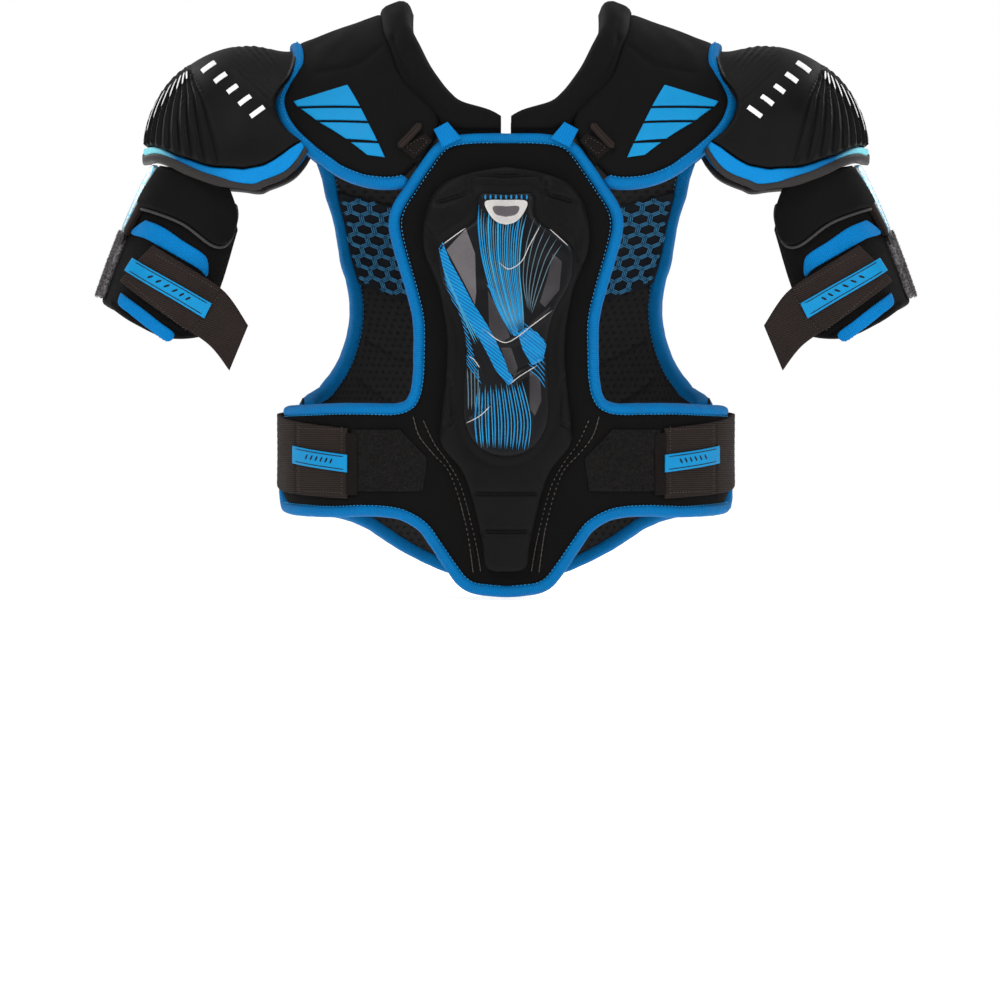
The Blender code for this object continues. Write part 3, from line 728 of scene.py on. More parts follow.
KNIT = woven("black_knit", (0.0072, 0.0067, 0.0066), (0.0026, 0.0024, 0.0024), 0.9, 0.80, 0.01, 0.45,
             specular=0.035)
MATT = woven("black_matt_fabric", (0.0064, 0.0059, 0.0058), (0.0027, 0.0025, 0.0025), 0.7, 0.70, 0.01, 0.3,
             specular=0.045)
LINING = netted("black_spacer_mesh", (0.0120, 0.0106, 0.0104), (0.0012, 0.0012, 0.0012), 6.0, sheen=0.0)
FINE_LINING = netted("grey_lining_mesh", (0.018, 0.017, 0.018), (0.003, 0.003, 0.003), 3.0, sheen=0.01)
BACKING = woven("black_backing", (0.0035, 0.0060, 0.0110), (0.0015, 0.0024, 0.0045), 1.4, 0.85, 0.0, 0.3)
BLUE_TAPE = ribbed("blue_tape", (0.0003, 0.172, 0.440), (0.0002, 0.080, 0.240), 1.5, 0.9, 0.6, 0.01, 0.6, (0, 1),
                   specular=0.06)
BLUE_CLOTH = woven("blue_twill", (0.0004, 0.185, 0.480), (0.0002, 0.105, 0.320), 2.4, 0.62, 0.01, 0.6,
                   specular=0.06)
BRIGHT = printed("bright_blue_print", (0.0003, 0.235, 0.490), (0.0002, 0.170, 0.395), 0.5, 0.0)
MOULD = moulded("black_moulded_foam", (0.0062, 0.0058, 0.0057), (0.0026, 0.0024, 0.0024), 0.50, 0.07)
GLOSS = moulded("black_gloss_plate", (0.0055, 0.0056, 0.0066), (0.0022, 0.0024, 0.0030), 0.36, 0.10, 0.02)
RUBBER = moulded("dark_grey_rubber", (0.030, 0.026, 0.026), (0.012, 0.0105, 0.0105), 0.55, 0.15)
PIPING = moulded("grey_piping", (0.042, 0.039, 0.039), (0.020, 0.019, 0.019), 0.6, 0.25)
LENS = moulded("grey_lens", (0.098, 0.086, 0.092), (0.048, 0.042, 0.046), 0.32, 0.4, 0.2)
DARK_LENS = moulded("dark_lens", (0.028, 0.024, 0.027), (0.012, 0.011, 0.012), 0.3, 0.3, 0.15)
WEBBING = ribbed("brown_black_webbing", (0.034, 0.025, 0.022), (0.007, 0.005, 0.0045), 1.7, 1.1, 0.75, 0.01, 0.8,
                 specular=0.05)
WEB_EDGE = ribbed("webbing_edge", (0.0125, 0.0100, 0.0092), (0.0035, 0.0028, 0.0026), 1.1, 1.1, 0.8, 0.01, 0.6,
                  specular=0.05)
LOOP = speckled("black_loop_pile", (0.0080, 0.0070, 0.0067), (0.0008, 0.0007, 0.0007), 700.0, 0.95, 0.0)
FLEECE = speckled("grey_fleece", (0.170, 0.155, 0.165), (0.014, 0.013, 0.014), 520.0, 0.95, 0.1)
THREAD = woven("black_thread", (0.026, 0.024, 0.023), (0.010, 0.009, 0.009), 0.5, 0.6, 0.05, 0.3, specular=0.2)
PALE_THREAD = woven("grey_thread", (0.105, 0.092, 0.086), (0.055, 0.048, 0.045), 0.5, 0.6, 0.0, 0.3, specular=0.1)
BLUE_THREAD = woven("blue_thread", (0.030, 0.36, 0.70), (0.002, 0.18, 0.46), 0.5, 0.55, 0.05, 0.3, specular=0.2)
BLUE_CORD = woven("blue_net_yarn", (0.0040, 0.085, 0.200), (0.0015, 0.030, 0.085), 0.8, 0.65, 0.05, 0.4,
                  specular=0.2)
NET_THREAD = woven("pale_net_thread", (0.12, 0.42, 0.66), (0.015, 0.15, 0.33), 0.6, 0.6, 0.05, 0.3, specular=0.2)
# White print for the cap bars, also used for the painted highlights along the cap ridges.
WHITE_PRINT_AND_HIGHLIGHT = printed("white_print_and_highlight", (0.78, 0.78, 0.78), (0.66, 0.66, 0.66), 0.45)
SILVER = moulded("silver_trim", (0.56, 0.54, 0.52), (0.30, 0.29, 0.285), 0.28, 0.5, 0.2)
PALE_BLUE = printed("pale_blue_print", (0.045, 0.31, 0.50), (0.012, 0.15, 0.30), 0.35, 0.08)
STEEL_PRINT = printed("grey_blue_print", (0.105, 0.17, 0.21), (0.040, 0.075, 0.10), 0.35, 0.08)
CLEAR_BLUE = printed("plate_blue_print", (0.0015, 0.235, 0.520), (0.0006, 0.120, 0.320), 0.32, 0.08)
HATCHED_BLUE = printed("plate_hatched_print", (0.0015, 0.240, 0.530), (0.0004, 0.070, 0.210), 0.32, 0.08, 2.9, 0.75)
INK = moulded("black_ink", (0.0045, 0.0045, 0.0050), (0.0025, 0.0025, 0.0028), 0.4, 0.15)
BAND = banded_blue("cap_band_blue")
FILM = reflective("silver_fleck_film")
BUCKLE = moulded("black_plastic", (0.012, 0.012, 0.013), (0.006, 0.006, 0.006), 0.35, 0.5)


# --- pieces ------------------------------------------------------------------------------------------

def piece(name, shell, look, body, nodes=(), mirror=1.0, cross=None):
    """A mesh object of the shell, on its body, standing for its CAD nodes."""
    points = shell.points * (mirror, 1.0, 1.0) * MM
    faces = shell.faces if mirror > 0.0 else [face[::-1] for face in shell.faces]
    data = bpy.data.meshes.new(name)
    data.from_pydata(points, [], faces)
    layer = data.uv_layers.new(name="cloth")
    corner = np.zeros(len(data.loops), np.int32)
    data.loops.foreach_get("vertex_index", corner)
    layer.data.foreach_set("uv", shell.cloth[corner].astype(np.float32).ravel())
    data.polygons.foreach_set("use_smooth", np.ones(len(data.polygons), bool))
    data.materials.append(look)
    data.update()
    obj = bpy.data.objects.new(name, data)
    bpy.context.scene.collection.objects.link(obj)
    if nodes:
        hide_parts(*nodes)
    if cross:
        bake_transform(obj)
    else:
        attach(obj, body)
    return obj


def pair(name, shell, look, body, nodes=(), cross=None):
    """The same piece on both sides: the wearer's right as built, and its mirror image on the left."""
    for side, mirror in (("right", 1.0), ("left", -1.0)):
        across = None
        if cross:
            start, end = (tuple(np.array(p) * (mirror, 1.0, 1.0) * MM) for p in cross[2:])
            across = (cross[0].format(side), cross[1].format(side), start, end)
        piece(f"{name}_{side}", shell, look, body.format(side), [f"{n}_{side}" for n in nodes], mirror,
              across)


def puffed(shell, pressure=4.0, most=2.0, voxel=5.0, steps=14):
    """The shell after air pressure in a cloth copy of it has filled it out and creased it."""
    data = bpy.data.meshes.new("cloth_copy")
    data.from_pydata(shell.points * MM, [], shell.faces)
    obj = bpy.data.objects.new("cloth_copy", data)
    bpy.context.scene.collection.objects.link(obj)
    bpy.context.view_layer.objects.active = obj
    remesh = obj.modifiers.new("remesh", "REMESH")
    remesh.mode = "VOXEL"
    remesh.voxel_size = voxel * MM
    bpy.ops.object.modifier_apply(modifier="remesh")
    rest = np.array([v.co for v in obj.data.vertices], float) / MM
    cloth = obj.modifiers.new("cloth", "CLOTH")
    cloth.settings.use_pressure = True
    cloth.settings.uniform_pressure_force = pressure
    cloth.settings.tension_stiffness = 20.0
    cloth.settings.compression_stiffness = 20.0
    cloth.settings.bending_stiffness = 0.6
    cloth.settings.quality = 4
    cloth.settings.effector_weights.gravity = 0.0
    cloth.point_cache.frame_start = 1
    cloth.point_cache.frame_end = steps
    for number in range(1, steps + 1):
        bpy.context.scene.frame_set(number)
    graph = bpy.context.evaluated_depsgraph_get()
    done = obj.evaluated_get(graph).to_mesh()
    moved = np.array([v.co for v in done.vertices], float) / MM - rest
    obj.evaluated_get(graph).to_mesh_clear()
    bpy.data.objects.remove(obj)
    bpy.data.meshes.remove(data)
    bpy.context.scene.frame_set(1)
    tree = KDTree(len(rest))
    for i, place in enumerate(rest):
        tree.insert(place, i)
    tree.balance()
    shift = np.zeros_like(shell.points)
    for i, place in enumerate(shell.points):
        found = tree.find_n(place, 6)
        weight = np.array([1.0 / (0.5 + f[2]) ** 2 for f in found])
        shift[i] = (moved[[f[1] for f in found]] * weight[:, None]).sum(0) / weight.sum()
    size = np.linalg.norm(shift, axis=1, keepdims=True)
    shift *= np.tanh(size / most) * most / np.maximum(size, 1e-6)
    return Shell(shell.points + shift, shell.faces, shell.cloth)


# Front panel ------------------------------------------------------------------------------------------
panel_top = [(0, 354), (24, 354), (40, 352), (47, 347)]
panel_side = [(47, 347), (55, 336), (67, 318), (77, 302), (79, 288), (73, 262), (67, 240), (62, 216), (62, 188),
              (63, 168), (66, 154), (73, 144), (87, 139)]
wing_top = [(87, 139), (110, 139), (135, 139), (158, 138)]
wing_bottom = [(158, 71), (140, 70), (115, 71), (93, 70), (77, 66), (61, 56), (49, 40), (38, 24), (27, 11), (13, 8),
               (0, 7)]
top_run = curve([on_torso(*p) for p in panel_top + panel_side[1:] + wing_top[1:]] + [at_side(76, 137)])
end_run = laid(at_side, [(76, 137), (79, 127), (79, 82), (76, 73)])
low_run = curve([at_side(76, 73)] + [on_torso(*p) for p in wing_bottom])
seams_half = [[(74, 140), (69, 124), (58, 110), (46, 97), (39, 80), (34, 62), (30, 44), (26, 15)],
              [(66, 137), (57, 118), (46, 103), (37, 87), (31.5, 70), (27, 52), (23, 34), (20, 16)]]
panel_seams = []
for half in seams_half:
    for way in (1.0, -1.0):
        panel_seams.append(curve([on_torso(x * way, z) for x, z in half], 2.0))
lining_seams = [curve([on_torso(x * way, z) for x, z in run], 2.0) for way in (1.0, -1.0)
                for run in ([(0, 300), (50, 296)], [(0, 240), (48, 236)], [(0, 180), (44, 178)],
                            [(0, 130), (70, 120)], [(60, 120), (60, 86)], [(100, 122), (100, 88)])]
UNDER_TAPE = 4.5


def tucked(run):
    """A taped edge let out under its tape, easing back to where it was at both ends."""
    length = np.linspace(0.0, 1.0, len(run))
    ease = np.clip(np.minimum(length, 1.0 - length) * len(run) / 4.0, 0.0, 1.0)
    along = np.gradient(run, axis=0)
    left = np.stack([-along[:, 1], along[:, 0]], -1)
    left /= np.linalg.norm(left, axis=1, keepdims=True)
    return run + left * (UNDER_TAPE * ease)[:, None]


def let_out(run, distance, middle, across=0):
    """A run moved out under its tape; one end stays on the middle line, the other eases back to its place."""
    wide = stand_off(run, distance)
    wide[middle, across] = 0.0
    if middle:
        wide[:4] = run[:4] + (wide[:4] - run[:4]) * np.array([[0.0], [0.25], [0.5], [0.75]])
    else:
        wide[-4:] = run[-4:] + (wide[-4:] - run[-4:]) * np.array([[0.75], [0.5], [0.25], [0.0]])
    return wide


wide_top = let_out(top_run, UNDER_TAPE, 0)
wide_low = let_out(low_run, UNDER_TAPE, -1)
panel = plate(FRONT, both_sides(join(wide_top, end_run, wide_low)), -FOAM, 0.0, 5.0, 5.0, 4.0, 4.0,
              [(p, 1.3, 1.3) for p in panel_seams], rise=lumps(26.0, 0.35))
piece("chest_panel_pad", puffed(panel, most=0.8), KNIT, "front_panel", ["chest_panel"])
lining_outline = both_sides(laid(on_torso, [(0, 342), (36, 340), (52, 318), (64, 292), (60, 260), (52, 225),
                                            (50, 180), (54, 150), (72, 130), (120, 127), (145, 124), (148, 100),
                                            (143, 84), (110, 84), (75, 78), (50, 58), (34, 36), (0, 22)]))
piece("chest_lining_pad", plate(FRONT, lining_outline, -FOAM - 5.0, -FOAM - 1.0, 5.0, 2.0, 0.6, 2.2,
                                under_lines=[(p, 1.6, 2.2) for p in lining_seams]), LINING, "front_panel",
      ["chest_lining"])
stitch_runs = [stitches(FRONT, p, -0.4, 3.6, 0.5, 0.55) + tube(FRONT, p, -0.8, 0.4, 0.4, 6) for p in panel_seams]
piece("chest_seam_stitches", total(stitch_runs), PALE_THREAD, "front_panel")


def trim(form, path, lift, wide, deep):
    """Bias tape: a slightly squared oval strip, with small gathers along it."""
    s = np.arange(len(path)) * 2.5
    gather = 0.12 * np.sin(s / 3.1) + 0.08 * np.sin(s / 1.7 + 1.0)
    return tube(form, path, lift, wide + gather * 0.5, deep + gather, 18, 0.8)


upper_edge = resample(stand_off(top_run, STAND_OFF), 2.5)
around_corner = curve([at_side(80, 95), at_side(80, 86), at_side(78.5, 77), at_side(73, 72)]
                      + [on_torso(*p) for p in wing_bottom[1:]])
lower_edge = resample(stand_off(around_corner, STAND_OFF), 2.5)
upper_path = np.vstack([mirrored(upper_edge), upper_edge[1:]])
lower_path = np.vstack([lower_edge, mirrored(lower_edge)[1:]])
piece("chest_binding_upper_tape", trim(FRONT, upper_path, -7.0, 5.0, 9.0), BLUE_TAPE, "front_panel",
      ["chest_binding_upper"])
piece("chest_binding_lower_tape", trim(FRONT, lower_path, -7.0, 5.0, 9.0), BLUE_TAPE, "front_panel",
      ["chest_binding_lower"])
tape_stitches = [stitches(FRONT, stand_off(top_run, 2.2)[2:-2] * (way, 1.0), 1.0, 2.2, 1.0, 0.4)
                 for way in (1.0, -1.0)]
tape_stitches += [stitches(FRONT, stand_off(low_run, 2.2)[2:-1] * (way, 1.0), 1.0, 2.2, 1.0, 0.4)
                  for way in (1.0, -1.0)]
piece("chest_tape_stitches", total(tape_stitches), BLUE_THREAD, "front_panel")

# Moulded centre pad
pad_half = [(0, 337), (29, 332), (52, 322), (64, 300), (65, 272), (53, 238), (47, 205), (48, 165), (51, 138),
            (51, 117), (36, 97), (28.5, 78), (23.5, 58), (19, 38), (16.5, 21), (10, 16.5), (0, 16)]
plate_half = [(0, 314), (21, 314), (22, 301), (27, 292), (50, 275), (52, 262), (48, 244), (36, 220), (31, 196),
              (32, 168), (32, 138), (25, 120), (13, 110), (0, 107)]
pad_outline = both_sides(laid(on_torso, pad_half))
plate_outline = both_sides(laid(on_torso, plate_half, 2.0))
pad_lines = []
for way in (1.0, -1.0):
    for run, width, depth in (
            ([(0, 329), (27, 329), (29, 318), (32, 315), (52, 309)], 1.5, 3.2),
            ([(61, 290), (58, 280), (58, 264), (64, 258)], 1.5, 2.6),
            ([(45, 170), (42, 150), (43, 134), (58, 128)], 1.5, 2.6),
            ([(0, 78), (26, 78)], 1.5, 3.2), ([(0, 48), (18, 48)], 1.5, 3.2)):
        pad_lines.append((curve([on_torso(x * way, z) for x, z in run], 2.0), width, depth))
ring_out = [(0, 321), (26, 321), (28, 304), (33, 296), (57, 279), (59, 262), (54, 242), (42, 218), (37, 196),
            (38, 168), (38, 136), (30, 115), (15, 103), (0, 100)]
ring_line = both_sides(laid(on_torso, ring_out, 2.0))
pad_lines.append((np.vstack([ring_line, ring_line[:1]]), 2.2, 1.6))


def pad_rise(uv):
    return -1.6 * smoothstep(-2.0, 6.0, distance_to(uv, plate_outline, True)) * ~inside(uv, plate_outline) * 0.5


pad = plate(FRONT, pad_outline, 1.0, 12.0, 3.2, 6.0, 5.5, 0.5, pad_lines, rise=pad_rise)
piece("sternum_moulded_pad", puffed(pad, most=0.5, voxel=4.5), MOULD, "front_panel",
      ["sternum_pad"])

# Sternum plate: ribbed shell with inlaid strips of colour
SHELL_TOP = 19.0
ridge_runs = [[(-17, 206), (-10, 200), (0, 197), (12, 202), (24, 214), (38, 226)],
              [(-30, 186), (-24, 182), (-21, 176), (-20, 150), (-14, 146), (-30, 134)],
              [(4, 166), (10, 172), (20, 178), (28, 184)]]
ridges = [laid(on_torso, run, 2.0) for run in ridge_runs]
hollow_runs = [[(-32, 276), (-40, 262), (-30, 240), (-20, 226)], [(-15, 240), (-6, 222), (2, 202)],
               [(24, 258), (38, 262), (40, 244), (30, 226)], [(-2, 194), (4, 182), (8, 170)],
               [(20, 174), (26, 160), (24, 142)]]
hollows = [laid(on_torso, run, 2.0) for run in hollow_runs]


def shell_rise(uv):
    """Raised centre, soft ridges across it, and shallow hollows for the lenses."""
    lift = np.zeros(len(uv))
    for run in ridges:
        lift = np.maximum(lift, 1.5 * np.exp(-(distance_to(uv, run) / 1.9) ** 2))
    for run in hollows:
        lift -= 0.9 * np.exp(-(distance_to(uv, run) / 6.0) ** 2)
    crown = 1.2 * np.exp(-(uv[:, 0] / 16.0) ** 2)
    flutes = 0.28 * np.sin(uv[:, 0] / 1.05) * smoothstep(150.0, 138.0, uv[:, 1])
    return lift + crown + flutes


shell = plate(FRONT, plate_outline, 13.0, SHELL_TOP, 1.6, 3.0, 2.6, 0.3, rise=shell_rise)
piece("sternum_shell", shell, GLOSS, "front_panel", ["sternum_plate"])


def shell_lift(uv):
    near = distance_to(uv, plate_outline, True)
    fall = 2.6 * (1.0 - np.sqrt(np.maximum(0.0, 1.0 - (1.0 - np.minimum(1.0, near / 3.0)) ** 2)))
    return SHELL_TOP - fall + shell_rise(uv) * smoothstep(0.0, 3.0, near)


def line_on_shell(points, wide, lift=0.12):
    path = laid(on_torso, points, 1.6)
    path = path[inside(path, plate_outline)]
    if len(path) < 3:
        return None
    share = np.linspace(0.0, 1.0, len(path))
    taper = np.clip(np.minimum(share, 1.0 - share) * 8.0, 0.25, 1.0)
    return tube(FRONT, path, shell_lift(path) + lift, wide * taper, 0.22, 6)


def patch_on_shell(points, lift=0.1):
    """A thin inlay that follows the shell's surface."""
    outline = cut_out(on_torso, points, 1.6)
    flat = plate(FRONT, outline, 0.0, 0.3, 1.5, 0.4, 0.08, 0.0)
    half = len(flat.points) // 2
    uv = flat.cloth[:half]
    top = FRONT.at(uv, shell_lift(uv) + lift)[0]
    low = FRONT.at(uv, shell_lift(uv) - 0.3)[0]
    return Shell(np.vstack([top, low]), flat.faces, flat.cloth)


def between(left, right, t):
    return [((1 - t) * a[0] + t * b[0], (1 - t) * a[1] + t * b[1]) for a, b in zip(left, right)]


def spread_lines(left, right, count, wide):
    """Lines laid evenly between two runs of matching points."""
    return [line_on_shell(between(left, right, (k + 0.5) / count), wide) for k in range(count)]


bright = []
pale = []
steel = []
# Short stripes along the top edge
bright += spread_lines([(-18, 318), (-18, 309)], [(18, 318), (18, 309)], 9, 0.9)
# Strokes that fall from the top and draw together towards the middle of the plate
left_edge = [(-22, 306), (-22, 286), (-18, 260), (-9, 230), (4, 204)]
right_edge = [(17, 304), (13, 282), (11, 256), (13, 230), (14, 208)]
STROKES = 19
looks = (bright, pale, bright, steel, pale, bright, steel)
for k in range(STROKES):
    points = between(left_edge, right_edge, (k + 0.5) / STROKES)
    drop = 3 * ((k * 5) % 4)
    points[0] = (points[0][0], points[0][1] - drop)
    looks[k % len(looks)].append(line_on_shell(points, (0.8, 0.5, 0.65, 0.42)[k % 4]))
steel += spread_lines([(20, 298), (14, 276), (12, 250), (16, 226)], [(46, 274), (36, 260), (27, 238), (20, 220)], 6,
                      0.42)
# Solid blue wedges of the crossing band
bright_patches = [patch_on_shell([(-15, 244), (-9, 240), (8, 212), (10, 204), (6, 203), (-4, 222)]),
                  patch_on_shell([(-52, 272), (-49, 277), (-43, 262), (-26, 230), (-11, 206), (-2, 186), (6, 168),
                                  (2, 164), (-8, 176), (-20, 200), (-36, 226), (-46, 246)]),
                  patch_on_shell([(9, 205), (13, 192), (20, 180), (28, 184), (31, 196), (24, 206), (15, 210)])]
pale += spread_lines([(-50, 262), (-44, 248), (-34, 226), (-20, 200)],
                     [(-46, 248), (-40, 236), (-32, 216), (-24, 196)], 3, 0.5)
# Fine hatch beside it
for k in range(16):
    top = 250.0 - 4.4 * k
    start = (-48.0 + 1.1 * k, top)
    bright.append(line_on_shell([start, (start[0] + 6.0, top - 9.0), (start[0] + 13.0, top - 19.0)], 0.42))
for k in range(9):
    top = 214.0 - 4.6 * k
    bright.append(line_on_shell([(13.0 + 0.5 * k, top), (21.0 + 0.5 * k, top - 7.0), (30.0, top - 15.0)], 0.42))
# Stripes that fan out at the bottom
bright += spread_lines([(-24, 158), (-26, 136), (-24, 116)], [(12, 166), (19, 136), (16, 112)], 9, 0.7)
pale += spread_lines([(-22, 164), (-23, 138), (-21, 114)], [(14, 168), (21, 138), (19, 114)], 9, 0.42)
steel += spread_lines([(-31, 178), (-30, 158), (-30, 144)], [(-20, 178), (-20, 158), (-20, 146)], 4, 0.5)
trim_lines = [line_on_shell(points, 0.4, 0.2) for points in (
    [(-17, 209), (-8, 201), (0, 198), (8, 202), (18, 210), (36, 224)], [(-31, 188), (-25, 185), (-20, 178)],
    [(3, 165), (10, 171), (24, 180)], [(-31, 134), (-20, 140), (-12, 148)],
    [(28, 292), (18, 274), (12, 262), (2, 256), (-6, 262)], [(-49, 275), (-31, 288)], [(29, 291), (48, 274)])]
piece("plate_print_blue", total(bright), CLEAR_BLUE, "front_panel")
piece("plate_print_bands", total(bright_patches), HATCHED_BLUE, "front_panel")
piece("plate_print_pale", total(pale), PALE_BLUE, "front_panel")
piece("plate_print_steel", total(steel), STEEL_PRINT, "front_panel")
piece("plate_trim_lines", total(trim_lines), SILVER, "front_panel")
piece("plate_lens_large", patch_on_shell([(-46, 271), (-31, 287), (-24, 268), (-23, 238), (-24, 228)]), LENS,
      "front_panel")
piece("plate_lens_small", total([patch_on_shell([(-14, 239), (-13, 206), (-4, 198), (3, 202), (2, 206)]),
                                 patch_on_shell([(-4, 194), (4, 194), (9, 178), (7, 172), (2, 174)]),
                                 patch_on_shell([(18, 176), (26, 170), (27, 152), (22, 140), (18, 146)]),
                                 patch_on_shell([(36, 268), (43, 262), (41, 240), (30, 226), (26, 230),
                                                 (32, 250)])]), DARK_LENS, "front_panel")
badge_half = [(0, 309), (16, 308), (13, 298), (7, 292), (0, 290)]
badge_outline = both_sides(laid(on_torso, badge_half, 1.5))
badge = plate(FRONT, badge_outline, 20.4, 22.0, 1.5, 1.2, 0.7, 0.0)
piece("badge_frame", badge, SILVER, "front_panel", ["sternum_badge"])
badge_inner = both_sides(laid(on_torso, [(0, 304), (10, 304), (8, 298), (0, 296)], 1.5))
piece("badge_inlay", plate(FRONT, badge_inner, 21.6, 22.3, 1.5, 0.6, 0.3, 0.0), LENS, "front_panel")

# Back panel -------------------------------------------------------------------------------------------
armhole = [(148, 384), (148, 360), (141, 338), (138, 322), (132, 301), (129, 280), (127, 260), (123, 244),
           (122, 222), (126, 202), (134, 184), (144, 170), (156, 159), (166, 151)]
arm_run = curve([on_torso(*p) for p in armhole] + [at_side(87, 140)])
hem = [(150, 68), (122, 60), (105, 51), (88, 41), (63, 29), (40, 21), (0, 18)]
hem_run = curve([at_side(87, 76)] + [on_torso(*p) for p in hem])
inner_seams = []
outer_seams = []
for way in (1.0, -1.0):
    for run in ([(124, 198), (78, 180), (30, 166), (0, 162)], [(132, 168), (100, 150), (60, 132)],
                [(60, 300), (60, 170)], [(150, 132), (110, 120), (60, 110), (0, 106)]):
        inner_seams.append((curve([on_torso(x * way, z) for x, z in run], 2.5), 1.6, 2.0))
    for run in ([(132, 320), (96, 306), (60, 300), (52, 300)], [(124, 240), (90, 232), (52, 232)],
                [(126, 196), (90, 180), (54, 172)], [(150, 150), (110, 128), (56, 120)], [(56, 330), (54, 60)],
                [(150, 96), (110, 84), (50, 74)]):
        outer_seams.append((curve([on_torso(x * way, z) for x, z in run], 2.5), 1.7, 2.6))
wide_hem = let_out(hem_run, UNDER_TAPE, -1)
back_wide = join(laid(on_torso, [(0, 360), (40, 364), (75, 378), (110, 388), (148, 384)]), tucked(arm_run),
                 laid(at_side, [(87, 140), (87, 76)]), wide_hem)
back = plate(BACK, both_sides(back_wide), -26.0, -16.0, 5.5, 4.0, 3.5, 2.5, outer_seams, inner_seams,
             rise=lumps(30.0, 0.4, 2.0))
piece("back_panel_pad", puffed(back, most=0.8), LINING, "harness", ["back_panel"])
piece("back_seam_stitches", total([stitches(BACK, run[0], -18.1) for run in outer_seams]), THREAD, "harness")
spine_outline = both_sides(laid(on_torso, [(0, 330), (38, 326), (47, 290), (44, 220), (50, 150), (44, 90), (30, 52),
                                           (0, 46)]))
spine_lines = []
for height in (285, 238, 192, 146, 100):
    spine_lines.append((laid(on_torso, [(-50, height - 6), (0, height + 6), (50, height - 6)], 2.0), 2.2, 5.0))
for way in (1.0, -1.0):
    spine_lines.append((laid(on_torso, [(16 * way, 318), (14 * way, 190), (16 * way, 64)], 2.5), 1.6, 2.2))
spine = plate(BACK, spine_outline, -15.0, 1.0, 3.8, 8.0, 7.0, 0.5, spine_lines)
piece("spine_moulded_pad", puffed(spine, most=1.0), MOULD, "harness", ["spine_pad"])
hem_edge = resample(stand_off(hem_run, STAND_OFF), 2.5)
hem_path = np.vstack([hem_edge, mirrored(hem_edge)[1:]])
piece("back_hem_tape", trim(BACK, hem_path, -21.0, 5.0, 7.0), BLUE_TAPE, "harness",
      ["back_binding_lower"])
arm_edge_path = resample(stand_off(mirrored(arm_run), STAND_OFF), 2.5)
arm_edge_path = arm_edge_path[: len(arm_edge_path) - 12]
armhole_tape = trim(BACK, arm_edge_path, -21.0, 5.0, 7.0)
pair("armhole_tape", armhole_tape, BLUE_TAPE, "harness", ["armhole_binding"])
pair("armhole_tape_stitches", stitches(BACK, stand_off(mirrored(arm_run), 2.8)[4:-14], -27.3, 2.2, 1.6, 0.32),
     BLUE_THREAD, "harness")

# Honeycomb net over a dark backing, inside the back panel
net_outline = join(*[laid(on_torso, [(-a[0], a[1]), (-b[0], b[1])]) for a,
                     b in zip([(143.5, 325), (60, 303), (60, 224), (129, 244), (133.5, 264), (137.5, 292)],
                              [(60, 303), (60, 224), (129, 244), (133.5, 264), (137.5, 292), (143.5, 325)])])
pair("back_net_backing", plate(BACK, net_outline, -29.2, -27.0, 4.0, 1.0, 0.4, 0.5), BACKING, "harness",
     ["back_mesh"])
CELL = 6.4


def hexagon_net():
    """Edges of a honeycomb inside the net's outline."""
    low = net_outline.min(0)
    high = net_outline.max(0)
    runs = {}
    rows = int((high[1] - low[1]) / (1.5 * CELL)) + 2
    columns = int((high[0] - low[0]) / (1.732 * CELL)) + 2
    for row in range(rows):
        for column in range(columns):
            centre = low + (1.732 * CELL * (column + 0.5 * (row % 2)), 1.5 * CELL * row)
            ring = [centre + CELL * np.array((math.sin(k * math.pi / 3), math.cos(k * math.pi / 3)))
                    for k in range(6)]
            for a, b in zip(ring, ring[1:] + ring[:1]):
                key = tuple(sorted([(round(a[0]), round(a[1])), (round(b[0]), round(b[1]))]))
                runs[key] = (a, b)
    kept = []
    for a, b in runs.values():
        line = resample(np.array([a, b]), 1.7)
        line = line[inside(line, net_outline)]
        if len(line) > 2:
            kept.append(line)
    return kept


net = hexagon_net()
pair("back_net_yarn", total([tube(BACK, line, -29.8, 1.75, 0.45, 8) for line in net]), BLUE_CORD, "harness")
threads = []
for line in net:
    for side in (-1.2, 0.0, 1.2):
        threads.append(tube(BACK, stand_off(line, side), -30.2 + 0.06 * abs(side), 0.3, 0.22, 4))
pair("back_net_threads", total(threads), NET_THREAD, "harness")

# Yokes ------------------------------------------------------------------------------------------------
yoke_outer = [(160, 428), (164, 416), (171, 404), (175, 393), (172, 382), (165, 372), (153, 361), (141, 352),
              (129, 344), (113, 338), (97, 336), (85, 337), (73, 341)]
yoke_inner = [(73, 341), (64, 358), (57, 373), (67, 387), (79, 399), (88, 412), (95, 433), (100, 449)]
outer_run = curve([(-164.0, 0.0)] + [on_shoulder(*p) for p in yoke_outer])
inner_run = curve([on_shoulder(*p) for p in yoke_inner] + [(-104.0, 0.0)])
yoke_lines = []
for facing in (-1.0, 1.0):
    yoke_lines.append((curve([on_shoulder(*p, facing) for p in [(98, 436), (120, 420), (150, 414)]]), 1.8, 1.2))
    yoke_lines.append((curve([on_shoulder(*p, facing) for p in [(92, 392), (86, 370), (84, 350)]]), 1.6, 1.0))
wide_outer = let_out(outer_run, -UNDER_TAPE, 0, 1)
wide_inner = stand_off(inner_run, -4.0)
wide_inner[-1, 1] = 0.0
yoke = plate(SHOULDER, front_to_back(join(wide_outer, wide_inner)), -FOAM, 0.0, 4.5, 5.0, 4.0, 3.0, yoke_lines,
             rise=lumps(24.0, 0.3, 4.0))
pair("yoke_pad", puffed(yoke, most=0.8), MATT, "harness", ["yoke"])
outer_edge = stand_off(outer_run[:-2], -STAND_OFF)
yoke_path = resample(np.vstack([outer_edge[::-1] * (1.0, -1.0), outer_edge[1:]]), 2.5)
pair("yoke_tape", trim(SHOULDER, yoke_path, -6.0, 5.0, 8.0), BLUE_TAPE, "harness", ["yoke_binding"])
yoke_stitch_path = stand_off(outer_run[1:-3], -4.0)
